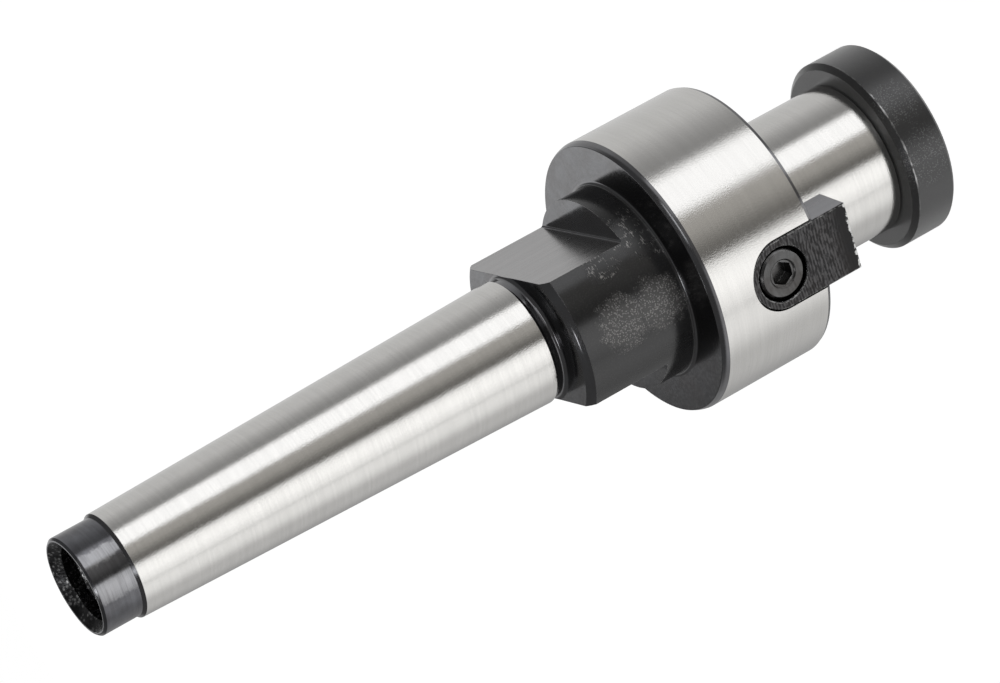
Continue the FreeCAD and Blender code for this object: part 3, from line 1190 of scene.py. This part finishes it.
@dataclass(frozen=True)
class DarkBore(Finish):
    """Dark oily oxide inside holes, with rough bright burrs at their mouths."""

    bare: Colour = (0.55, 0.55, 0.55)

    def build(self, effects: Effects) -> bpy.types.Material:
        """Build the material.

        Args:
            effects: the shared effects.

        Returns:
            The material.
        """
        material, sheet, shader = self.start(1.0)
        grain = sheet.group(effects.lathe_grain, Around=200.0, Across=2200.0, Band=700.0)
        cloud = sheet.group(effects.mottle, Broad=500.0, Fine=2200.0)
        wear = sheet.group(effects.edge_wear, Radius=0.00015, Wear=1.0, Break_up=1300.0)
        speck = sheet.group(effects.specks, Scale=2600.0, Size=0.75, Share=0.5)
        colour = sheet.blend(cloud["Cloud"], self.toned(0.6), self.toned(1.7))
        sparkle = sheet.times(speck["Mask"], sheet.spread(cloud["Cloud"], 0.1, 0.6))
        colour = sheet.blend(sparkle, colour, self.bare)
        colour = sheet.blend(wear["Mask"], colour, self.bare)
        sheet.feed(shader.inputs["Base Color"], colour)
        rough = sheet.mix(cloud["Grain"], self.roughness * 0.8, self.roughness * 1.3)
        sheet.feed(shader.inputs["Roughness"], rough)
        height = sheet.plus(grain["Height"], cloud["Grain"])
        sheet.feed(shader.inputs["Normal"], sheet.bump(height, 0.00002, 0.8, wear["Normal"]))
        return material


# Pieces


@dataclass(frozen=True)
class ArborBody:
    """The one-piece body: pilot, flange, collar with spanner flats, neck, taper and tail."""

    pilot_diameter: float = 22.0
    pilot_length: float = 19.4
    pilot_chamfer: float = 0.2
    flange_diameter: float = 40.0
    flange_thickness: float = 18.0
    flange_front_length: float = 0.5
    flange_front_depth: float = 0.2
    flange_chamfer_length: float = 1.05
    flange_chamfer_depth: float = 0.4
    flange_crown: float = 0.06
    flange_crown_radius: float = 2.0
    relief_width: float = 1.5
    relief_depth: float = 0.3
    collar_diameter: float = 28.0
    collar_end: float = 35.3
    collar_chamfer: float = 0.95
    collar_crown: float = 0.05
    collar_crown_radius: float = 1.0
    collar_fillet: float = 0.5
    flats_start: float = 22.6
    flats_end: float = 36.3
    across_flats: float = 17.9
    flat_turn: float = 98.0
    flat_fillet: float = 0.3
    wall_tilt: float = 0.3
    neck_diameter: float = 17.3
    neck_end: float = 37.0
    neck_lead: float = 0.35
    neck_fillet: float = 0.9
    taper_diameter: float = 18.0
    taper_end: float = 100.4
    taper_rate: float = 0.04995
    taper_edge_break: float = 0.4
    tail_diameter: float = 14.0
    tail_end: float = 106.0
    tail_chamfer: float = 0.3
    draw_hole_diameter: float = 8.5
    draw_hole_depth: float = 28.0
    draw_thread_diameter: float = 10.0
    recess_diameter: float = 10.4
    recess_depth: float = 3.0
    countersink_diameter: float = 12.9
    clamp_hole_diameter: float = 10.1
    clamp_hole_end: float = 8.6
    clamp_thread_depth: float = 0.4
    clamp_thread_start: float = 1.2
    clamp_thread_end: float = 2.4
    clamp_hole_lead: float = 0.6
    draw_thread_end: float = 3.0
    runout: float = 0.2
    slot_half_width: float = 5.06
    slot_floor: float = 14.0
    slot_centre: float = 6.4

    def clamp_hole(self) -> list[Corner]:
        """Corners of the clamping screw's threaded hole, from its bottom outward.

        Returns:
            The corners in order.
        """
        radius = self.clamp_hole_diameter / 2
        tip = self.clamp_hole_end + self.clamp_hole_diameter * DRILL_POINT_RATIO
        front = -self.pilot_length
        first = front + self.clamp_thread_start
        last = self.clamp_hole_end - self.clamp_thread_end
        thread = Thread(radius, radius + self.clamp_thread_depth, first, last)
        return [
            Corner(tip, 0.0, zone=Zone.BORE),
            Corner(self.clamp_hole_end, radius, zone=Zone.BORE),
            Corner(last + self.runout, radius, zone=Zone.BORE),
            Corner(last, radius, zone=Zone.BORE, thread=thread),
            Corner(first - self.runout, radius, zone=Zone.BORE),
            Corner(front + self.clamp_hole_lead, radius, EASED, Zone.BORE),
        ]

    def front_outline(self) -> list[Corner]:
        """Corners of the pilot, the seat and the flange, from the hole's mouth to the collar.

        Returns:
            The corners in order.
        """
        pilot = self.pilot_diameter / 2
        flange = self.flange_diameter / 2
        front = -self.pilot_length
        hole = self.clamp_hole_diameter / 2
        thick = self.flange_thickness
        crown = flange - self.flange_chamfer_depth / 2 + self.flange_crown
        return [
            Corner(front, hole + self.clamp_hole_lead, EASED, Zone.GROUND),
            Corner(front, pilot - self.pilot_chamfer, SOFT, Zone.GROUND),
            Corner(front + self.pilot_chamfer, pilot, EASED, Zone.GROUND),
            Corner(self.relief_depth, pilot, SOFT, Zone.OXIDE),
            Corner(self.relief_depth, pilot + self.relief_width, SOFT, Zone.OXIDE),
            Corner(0.0, pilot + self.relief_width, CRISP, Zone.GROUND),
            Corner(0.0, flange - self.flange_front_depth, CRISP, Zone.OXIDE),
            Corner(self.flange_front_length, flange, CRISP, Zone.GROUND),
            Corner(thick - self.flange_chamfer_length, flange, CRISP, Zone.OXIDE),
            Corner(thick - self.flange_chamfer_length / 2, crown, self.flange_crown_radius, Zone.OXIDE),
            Corner(thick, flange - self.flange_chamfer_depth, KEEN, Zone.OXIDE),
            Corner(thick, self.collar_diameter / 2, self.collar_fillet, Zone.COLLAR),
        ]

    def rear_outline(self) -> list[Corner]:
        """Corners of the collar, neck, taper and tail.

        Returns:
            The corners in order.
        """
        collar = self.collar_diameter / 2
        neck = self.neck_diameter / 2
        taper = self.taper_diameter / 2
        small = taper - (self.taper_end - self.neck_end) * self.taper_rate / 2
        tail = self.tail_diameter / 2
        middle = self.collar_crown - self.collar_chamfer / 2
        chamfered = self.collar_end + middle
        return [
            Corner(self.collar_end - self.collar_chamfer, collar, CRISP, Zone.OXIDE),
            Corner(chamfered, collar + middle, self.collar_crown_radius, Zone.OXIDE),
            Corner(self.collar_end, collar - self.collar_chamfer, EASED, Zone.OXIDE),
            Corner(self.collar_end, neck, self.neck_fillet, Zone.OXIDE),
            Corner(self.neck_end - self.neck_lead, neck, ROUND, Zone.OXIDE),
            Corner(self.neck_end, taper, EASED, Zone.GROUND),
            Corner(self.taper_end - self.taper_edge_break, small, CRISP, Zone.OXIDE),
            Corner(self.taper_end, small - self.taper_edge_break, CRISP, Zone.OXIDE),
            Corner(self.taper_end, tail, SOFT, Zone.TAIL),
            Corner(self.tail_end - self.tail_chamfer, tail, SOFT, Zone.TAIL),
            Corner(self.tail_end, tail - self.tail_chamfer, KEEN, Zone.TAIL),
        ]

    def draw_hole(self) -> list[Corner]:
        """Corners of the draw thread's hole, from its mouth to its bottom.

        Returns:
            The corners in order.
        """
        mouth = self.countersink_diameter / 2
        recess = self.recess_diameter / 2
        hole = self.draw_hole_diameter / 2
        step = self.tail_end - self.recess_depth
        floor = self.tail_end - self.draw_hole_depth
        start = step - (recess - hole)
        last = floor + self.draw_thread_end
        crest = self.draw_thread_diameter / 2
        thread = Thread(hole, crest, last, start - self.runout / 2)
        return [
            Corner(self.tail_end, mouth, CRISP, Zone.BORE),
            Corner(self.tail_end - (mouth - recess), recess, EASED, Zone.BORE),
            Corner(step, recess, EASED, Zone.BORE),
            Corner(start, crest, zone=Zone.BORE, thread=thread),
            Corner(last - self.runout, hole, zone=Zone.BORE),
            Corner(floor, hole, EASED, Zone.BORE),
            Corner(floor - self.draw_hole_diameter * DRILL_POINT_RATIO, 0.0, zone=Zone.BORE),
        ]

    def flat_tool(self, turn: float) -> bpy.types.Object:
        """The shape that cuts one spanner flat.

        Args:
            turn: the flat's turn about the axis, in degrees.

        Returns:
            The tool, closed and in place.
        """
        near = self.across_flats / 2
        far = self.collar_diameter
        outline = [(far, self.flats_start), (far, self.flats_end), (near, self.flats_end)]
        for step in range(FILLET_STEPS + 1):
            angle = math.pi + math.pi / 2 * step / FILLET_STEPS
            out = near + self.flat_fillet * (1 + math.cos(angle))
            up = self.flats_start + self.flat_fillet * (1 + math.sin(angle))
            outline.append((out, up))
        stand = Matrix.Rotation(math.radians(turn), 4, "Z") @ Matrix.Rotation(math.pi / 2, 4, "X")
        tool = stacked("flat_tool", ((-far, outline), (far, outline)), stand, Zone.FLAT)
        for face in tool.data.polygons:
            if abs(face.normal.z) > self.wall_tilt:
                face.material_index = Zone.OXIDE.value
        return tool

    def slot_tool(self, side: Side) -> bpy.types.Object:
        """The shape that cuts one key slot.

        Args:
            side: the key's place.

        Returns:
            The tool, closed and in place.
        """
        outline = stadium(self.slot_half_width, -2 * OVERSHOOT, self.slot_centre)
        layers = ((self.slot_floor, outline), (self.flange_diameter, outline))
        return stacked("slot_tool", layers, side.turn() @ OUT_ALONG_X, Zone.OXIDE)

    def build(self, materials: Sequence[bpy.types.Material]) -> bpy.types.Object:
        """Turn the body, cut its flats and slots, and dress it.

        Args:
            materials: the finishes in the order of the zones.

        Returns:
            The finished piece.
        """
        corners = self.clamp_hole() + self.front_outline() + self.rear_outline() + self.draw_hole()
        piece = turned("arbor_body_dressed", rounded(corners))
        for material in materials:
            piece.data.materials.append(material)
        for turn in (self.flat_turn, self.flat_turn + 180.0):
            cut(piece, self.flat_tool(turn))
        for side in Side:
            cut(piece, self.slot_tool(side))
        settle(piece, Body.ARBOR, "arbor_body")
        return piece


@dataclass(frozen=True)
class DriveKey:
    """A driving key screwed into its slot in the flange."""

    side: Side
    node: str
    half_width: float = 4.9
    inner: float = 14.0
    outer: float = 19.5
    front: float = -5.2
    centre: float = 6.4
    chamfer: float = 0.14
    guard: float = 0.15
    counterbore_diameter: float = 7.6
    counterbore_depth: float = 4.05
    lead: float = 0.22
    lead_depth: float = 0.12
    lead_rounding: float = 0.03
    hole_diameter: float = 4.4

    def blank(self) -> bpy.types.Object:
        """The key's bar with its chamfered rim and painted shade on its sides inside the slot, before it is
        bored.

        Returns:
            The bar, closed and in place.
        """
        levels = (
            (self.inner, 0.0),
            (self.inner + self.guard, 0.0),
            (self.outer - self.chamfer, 0.0),
            (self.outer, self.chamfer),
        )
        layers = [(out, stadium(self.half_width - inset, self.front, self.centre)) for out, inset in levels]
        piece = stacked(f"{self.node}_dressed", layers, self.side.turn() @ OUT_ALONG_X)
        rim = (self.outer - self.chamfer / 2) * MM
        for face in piece.data.polygons:
            points = [piece.data.vertices[index].co for index in face.vertices]
            # painted shade: side faces inside the flange's slot take the dark counterbore finish, the faces
            # ahead of the flange the grey side finish
            if max(abs(point.x) for point in points) < rim:
                ahead = min(point.z for point in points) < -MM
                face.material_index = (KeyZone.SIDE if ahead else KeyZone.BORE).value
        return piece

    def bore_tool(self) -> bpy.types.Object:
        """The counterbore and the hole below it, as one turned shape.

        Returns:
            The tool, closed and in place.
        """
        wide = self.counterbore_diameter / 2
        narrow = self.hole_diameter / 2
        floor = self.outer - self.counterbore_depth
        mouth = wide + self.lead
        corners = [
            Corner(self.inner - OVERSHOOT, 0.0),
            Corner(self.inner - OVERSHOOT, narrow),
            Corner(floor, narrow, KEEN),
            Corner(floor, wide, ROUND),
            Corner(self.outer - self.lead_depth, wide, self.lead_rounding),
            Corner(self.outer - self.lead_depth + self.lead, mouth),
            Corner(self.outer + OVERSHOOT, mouth),
            Corner(self.outer + OVERSHOOT, 0.0),
        ]
        tool = turned("bore_tool", rounded(corners), HOLE_STEPS)
        place = self.side.turn() @ OUT_ALONG_X
        tool.data.transform(place @ Matrix.Translation((self.centre * MM, 0, 0)))
        if place.determinant() < 0:
            tool.data.flip_normals()
        for face in tool.data.polygons:
            face.material_index = KeyZone.BORE.value
        return tool

    def build(self, materials: Sequence[bpy.types.Material]) -> bpy.types.Object:
        """Make the key, bore it and dress it.

        Args:
            materials: finishes of the outer face, the counterbore (also painted shade on the sides inside the
                slot) and the sides.

        Returns:
            The finished piece.
        """
        piece = self.blank()
        for material in materials:
            piece.data.materials.append(material)
        cut(piece, self.bore_tool())
        settle(piece, Body.ARBOR, self.node)
        return piece


@dataclass(frozen=True)
class KeyScrew:
    """A socket head screw that holds a drive key."""

    side: Side
    node: str
    centre: float = 6.4
    top: float = 19.45
    head_diameter: float = 6.9
    head_height: float = 4.0
    head_chamfer: float = 0.35
    shank_diameter: float = 4.0
    shank_length: float = 8.0
    tip_chamfer: float = 0.4
    socket: float = 3.0
    socket_depth: float = 2.0
    socket_lead_radius: float = 2.05
    socket_lead_depth: float = 0.25
    dish: float = 0.07

    def build(self, material: bpy.types.Material) -> bpy.types.Object:
        """Turn the screw, cut its socket and dress it.

        Args:
            material: the screw's finish.

        Returns:
            The finished piece.
        """
        head = self.head_diameter / 2
        shank = self.shank_diameter / 2
        seat = self.top - self.head_height
        tip = seat - self.shank_length
        face = self.top - self.dish
        corners = [
            Corner(tip, 0.0),
            Corner(tip, shank - self.tip_chamfer, FINE),
            Corner(tip + self.tip_chamfer, shank, FINE),
            Corner(seat, shank, FINE),
            Corner(seat, head, CRISP),
            Corner(self.top - self.head_chamfer, head, CRISP),
            Corner(self.top, head - self.head_chamfer, CRISP),
            Corner(face, self.socket_lead_radius, FINE),
            Corner(face - self.socket_lead_depth, self.socket_lead_radius - self.socket_lead_depth, FINE),
            Corner(face - self.socket_lead_depth, 0.0),
        ]
        piece = turned(f"{self.node}_dressed", rounded(corners), HOLE_STEPS)
        piece.data.materials.append(material)
        outline = hexagon(self.socket, math.pi / 2)
        floor = self.top - self.socket_depth
        cut(piece, stacked("socket_tool", ((floor, outline), (self.top + OVERSHOOT, outline))))
        across = Matrix.Rotation(math.pi / 2, 4, "Y") @ Matrix.Translation((-self.centre * MM, 0, 0))
        piece.data.transform(self.side.turn() @ across)
        settle(piece, Body.ARBOR, self.node)
        return piece


@dataclass(frozen=True)
class ClampingScrew:
    """The screw whose wide head clamps the cutter on the pilot."""

    head_diameter: float = 28.0
    seat: float = -19.4
    head_height: float = 7.0
    front_chamfer: float = 0.5
    rear_chamfer_length: float = 0.65
    rear_chamfer_depth: float = 0.8
    thread_diameter: float = 10.0
    thread_root_diameter: float = 8.4
    neck_fillet: float = 0.3
    thread_length: float = 25.0
    tip_chamfer: float = 1.0
    thread_start: float = 1.6
    runout: float = 0.1
    rings_per_pitch: int = 10
    socket: float = 8.0
    socket_depth: float = 5.0

    def build(self, material: bpy.types.Material) -> bpy.types.Object:
        """Turn the screw with its thread, cut its socket and dress it.

        Args:
            material: the screw's finish.

        Returns:
            The finished piece.
        """
        head = self.head_diameter / 2
        crest = self.thread_diameter / 2
        root = self.thread_root_diameter / 2
        front = self.seat - self.head_height
        tip = self.seat + self.thread_length
        first = self.seat + self.thread_start
        last = tip - self.tip_chamfer - 2 * self.runout
        thread = Thread(root, crest, first, last, self.rings_per_pitch)
        corners = [
            Corner(front, 0.0),
            Corner(front, head - self.front_chamfer, ROUND),
            Corner(front + self.front_chamfer, head, ROUND),
            Corner(self.seat - self.rear_chamfer_length, head, FINE),
            Corner(self.seat, head - self.rear_chamfer_depth, KEEN),
            Corner(self.seat, root, self.neck_fillet),
            Corner(first - self.runout, root),
            Corner(first, crest, thread=thread),
            Corner(last + self.runout, root),
            Corner(last + 2 * self.runout, root),
            Corner(tip, crest - self.tip_chamfer, FINE),
            Corner(tip, 0.0),
        ]
        piece = turned("clamping_screw_dressed", rounded(corners))
        piece.data.materials.append(material)
        outline = hexagon(self.socket, 0.0)
        layers = ((front - OVERSHOOT, outline), (front + self.socket_depth, outline))
        cut(piece, stacked("socket_tool", layers))
        settle(piece, Body.CLAMP, "clamping_screw")
        return piece


# Studio


@dataclass(frozen=True)
class Panel:
    """A part of the studio's surround, by the compass direction of its two edges, in degrees."""

    name: str
    start: float
    start_soft: float
    end: float
    end_soft: float
    level: float
    tint: Colour = (1.0, 1.0, 1.0)
    bottom: float = -120.0
    top: float = 16.0
    top_soft: float = 7.0

    def colour(self) -> Colour:
        """The panel's light."""
        return tuple(self.level * part for part in self.tint)


@dataclass(frozen=True)
class Studio:
    """White floor, surround of soft panels, and the camera."""

    wall_level: float = 0.64
    sky_level: float = 0.17
    wall_top: float = 3.0
    wall_top_soft: float = 8.0
    floor_height: float = -52.0
    floor_radius: float = 600.0
    floor_shade: float = 0.2
    floor_glow: float = 0.97
    camera_place: Triple = (492.86, 256.89, 268.26)
    camera_right: Triple = (0.51898, -0.27616, -0.80895)
    camera_up: Triple = (-0.23884, 0.86183, -0.44744)
    camera_back: Triple = (0.82074, 0.42543, 0.38131)
    lens: float = 164.39
    sensor_width: float = 36.0
    warm: Colour = (1.03, 1.0, 0.95)
    cool: Colour = (0.99, 0.995, 1.01)

    def panels(self) -> list[Panel]:
        """The surround's panels, each laid over the ones before it.

        Returns:
            The panels in order.
        """
        return [
            Panel("rear wall", 120, 14, 207.5, 1.2, 0.68, top=4.0),
            Panel("rear sky", 188, 8, 207.5, 1.2, 1.05, bottom=4.0, top=75.0),
            Panel("shaded corner", 208, 1.5, 246, 24, 0.37, top=5.0),
            Panel("side wall", 296, 16, 329, 1, 1.1, top=3.0),
            Panel("left soft box", 329, 2, 9.0, 2.0, 1.2, top=3.0),
            Panel("left soft box core", 341, 6, 2, 6, 1.42, top=0.0),
            Panel("seam", 325.8, 0.5, 328.2, 0.5, 0.72, top=3.0),
            Panel("dark gap", 12, 2, 52, 3, 0.46, self.warm, top=5.0),
            Panel("dark gap core", 12, 2, 28, 14, 0.15, self.warm, top=5.0),
            Panel("right wall", 90, 1, 116, 24, 0.32, top=5.0),
            Panel("right soft box", 53, 3.5, 87, 4, 1.47, self.cool, top=4.0),
            Panel("right box top", 32, 4, 66, 4, 2.6, self.cool, bottom=12.0, top=19.0, top_soft=2.0),
            Panel("overhead box", 328, 4, 354, 4, 4.6, self.cool, bottom=58.0, top=68.0, top_soft=3.0),
        ]

    def build_world(self) -> None:
        """Make the surround: white to the camera, panels to everything else."""
        world = bpy.data.worlds.new("studio_surround")
        bpy.context.scene.world = world
        world.use_nodes = True
        world.node_tree.nodes.clear()
        sheet = Sheet(world.node_tree)
        x, y, z = sheet.parts(sheet.add("ShaderNodeTexCoord").outputs["Generated"])
        compass = sheet.math("DEGREES", sheet.math("ARCTAN2", y, x))
        height = sheet.math("DEGREES", sheet.math("ARCSINE", z))
        lift = sheet.spread(height, self.wall_top + self.wall_top_soft, self.wall_top - self.wall_top_soft)
        colour = sheet.blend(lift, (self.sky_level,) * 3, (self.wall_level,) * 3)
        for panel in self.panels():
            span = (panel.end - panel.start) % 360.0
            middle = panel.start + span / 2
            off = sheet.math("WRAP", sheet.math("SUBTRACT", compass, middle), 180.0, -180.0)
            rise = sheet.spread(off, -span / 2 - panel.start_soft, -span / 2 + panel.start_soft)
            fall = sheet.spread(off, span / 2 + panel.end_soft, span / 2 - panel.end_soft)
            share = sheet.times(rise, fall)
            over = sheet.spread(height, panel.top + panel.top_soft, panel.top - panel.top_soft)
            under = sheet.spread(height, panel.bottom - panel.top_soft, panel.bottom + panel.top_soft)
            share = sheet.times(share, sheet.times(over, under))
            colour = sheet.blend(share, colour, panel.colour())
        rays = sheet.add("ShaderNodeLightPath")
        seen = sheet.blend(rays.outputs["Is Camera Ray"], colour, (1.0, 1.0, 1.0))
        light = sheet.add("ShaderNodeBackground")
        sheet.feed(light.inputs["Color"], seen)
        sheet.feed(sheet.add("ShaderNodeOutputWorld").inputs["Surface"], light.outputs[0])

    def build_floor(self) -> None:
        """Make the floor: white, with the soft shadow of what stands on it, and clear from below."""
        rings = [
            Ring(self.floor_height, 0.0, Zone.GROUND),
            Ring(self.floor_height, self.floor_radius, Zone.GROUND),
        ]
        floor = turned("studio_floor", rings, HOLE_STEPS)
        if floor.data.polygons[0].normal.z < 0:
            floor.data.flip_normals()
        floor.visible_glossy = False
        material = bpy.data.materials.new("floor_white")
        material.use_nodes = True
        material.node_tree.nodes.clear()
        sheet = Sheet(material.node_tree)
        matt = sheet.add("ShaderNodeBsdfDiffuse")
        sheet.feed(matt.inputs["Color"], (self.floor_shade,) * 3)
        glow = sheet.add("ShaderNodeEmission")
        rays = sheet.add("ShaderNodeLightPath")
        sheet.feed(glow.inputs["Strength"], sheet.times(rays.outputs["Is Camera Ray"], self.floor_glow))
        both = sheet.add("ShaderNodeAddShader")
        sheet.feed(both.inputs[0], matt.outputs[0])
        sheet.feed(both.inputs[1], glow.outputs[0])
        one_sided = sheet.add("ShaderNodeMixShader")
        sheet.feed(one_sided.inputs[0], sheet.add("ShaderNodeNewGeometry").outputs["Backfacing"])
        sheet.feed(one_sided.inputs[1], both.outputs[0])
        sheet.feed(one_sided.inputs[2], sheet.add("ShaderNodeBsdfTransparent").outputs[0])
        sheet.feed(sheet.add("ShaderNodeOutputMaterial").inputs["Surface"], one_sided.outputs[0])
        floor.data.materials.append(material)

    def build_camera(self) -> None:
        """Stand the camera where the photograph was taken."""
        data = bpy.data.cameras.new("photo_camera")
        data.lens = self.lens
        data.sensor_width = self.sensor_width
        data.clip_start = 0.01
        camera = bpy.data.objects.new("photo_camera", data)
        bpy.context.scene.collection.objects.link(camera)
        turn = Matrix((self.camera_right, self.camera_up, self.camera_back)).transposed()
        camera.matrix_world = Matrix.Translation(Vector(self.camera_place) * MM) @ turn.to_4x4()
        bpy.context.scene.camera = camera

    def build(self) -> None:
        """Make the surround, the floor and the camera."""
        self.build_world()
        self.build_floor()
        self.build_camera()
        bpy.context.scene.view_settings.view_transform = "Standard"
        log.info("built the studio with %d panels", len(self.panels()))


def write_sizes() -> None:
    """Log one fixed line about the sizes."""
    log.info("sizes written")


def main() -> None:
    logging.basicConfig(level=logging.INFO, format="%(name)s: %(message)s")
    effects = Effects()
    ground = GroundSteel("ground_steel", (0.67, 0.66, 0.64), 0.12).build(effects)
    oxide = BlackOxide("black_oxide", (0.165, 0.167, 0.174), 0.13, patch_gain=0.03).build(effects)
    grainy_highlight = GrainyBlack(
        "grainy_black", (0.026, 0.026, 0.027), 0.16,
        # the grainy patches are partly painted highlights, set where the left light box reflects
        grainy_highlight_places=(WearAndHighlightPlace(9.0, 14.0, 22.0, 4.4), WearAndHighlightPlace(9.0, 14.0, 28.0, 4.4)),
        scratched_places=(WearAndHighlightPlace(50.0, 14.0, 20.5, 4.5), WearAndHighlightPlace(42.0, 14.0, 27.0, 3.0)),
    ).build(effects)
    tail = BlackOxide(
        "tail_oxide", (0.12, 0.122, 0.132), 0.13, patch_gain=0.15, streak_share=0.4, streak_gain=1.6,
        stain_share=0.1, wear=0.8, painted_highlight_share=0.55,
        # painted highlights on the tail, set where the light boxes reflect
        painted_highlight_places=(
            WearAndHighlightPlace(9.0, 7.0, 103.2, 1.9, 2.4, 4.0),
            WearAndHighlightPlace(46.0, 7.0, 103.0, 1.3, 2.4, 4.0),
        ),
    ).build(effects)
    flat = MilledSteel(
        "flat_steel", (0.38, 0.375, 0.375), 0.24, marks=Marks.BRUSHED, marks_scale=2200.0,
        marks_depth=0.000001, contrast=0.05, wear=0.4,
    ).build(effects)
    bore = DarkBore("bore_oxide", (0.05, 0.05, 0.052), 0.28).build(effects)
    satin = SatinBlack(
        "satin_black", (0.006, 0.006, 0.007), 0.38,
        # the speckled patches are partly painted highlights, set where the light boxes reflect
        worn_and_highlight_places=(WearAndHighlightPlace(42.0, 14.0, -22.5, 4.0), WearAndHighlightPlace(8.0, 14.0, -22.5, 5.0)),
    ).build(effects)
    key_face = MilledSteel(
        "key_face_black", (0.055, 0.054, 0.055), 0.34, marks_scale=3600.0, contrast=0.5, brown_share=0.1,
        smooth_band=(-0.0042, -0.0015), wear=1.0, edge_radius=0.00022, edge_line_height=-5.12,
    ).build(effects)
    key_side = MilledSteel(
        "key_side_grey", (0.3, 0.3, 0.315), 0.3, marks=Marks.BRUSHED, contrast=0.04, wear=0.6,
    ).build(effects)
    screw = BlackOxide(
        "screw_black", (0.085, 0.085, 0.085), 0.24, patch_gain=0.3, streak_share=0.3, wear=0.9,
    ).build(effects)
    ArborBody().build((ground, oxide, grainy_highlight, flat, bore, tail))
    for side, word in ((Side.FRONT, "front"), (Side.REAR, "rear")):
        # the bore finish doubles as painted shade on the key sides inside the slot
        DriveKey(side, f"drive_key_{word}").build((key_face, bore, key_side))
        KeyScrew(side, f"key_screw_{word}").build(screw)
    ClampingScrew().build(satin)
    Studio().build()
    write_sizes()


if __name__ == "__main__":
    main()
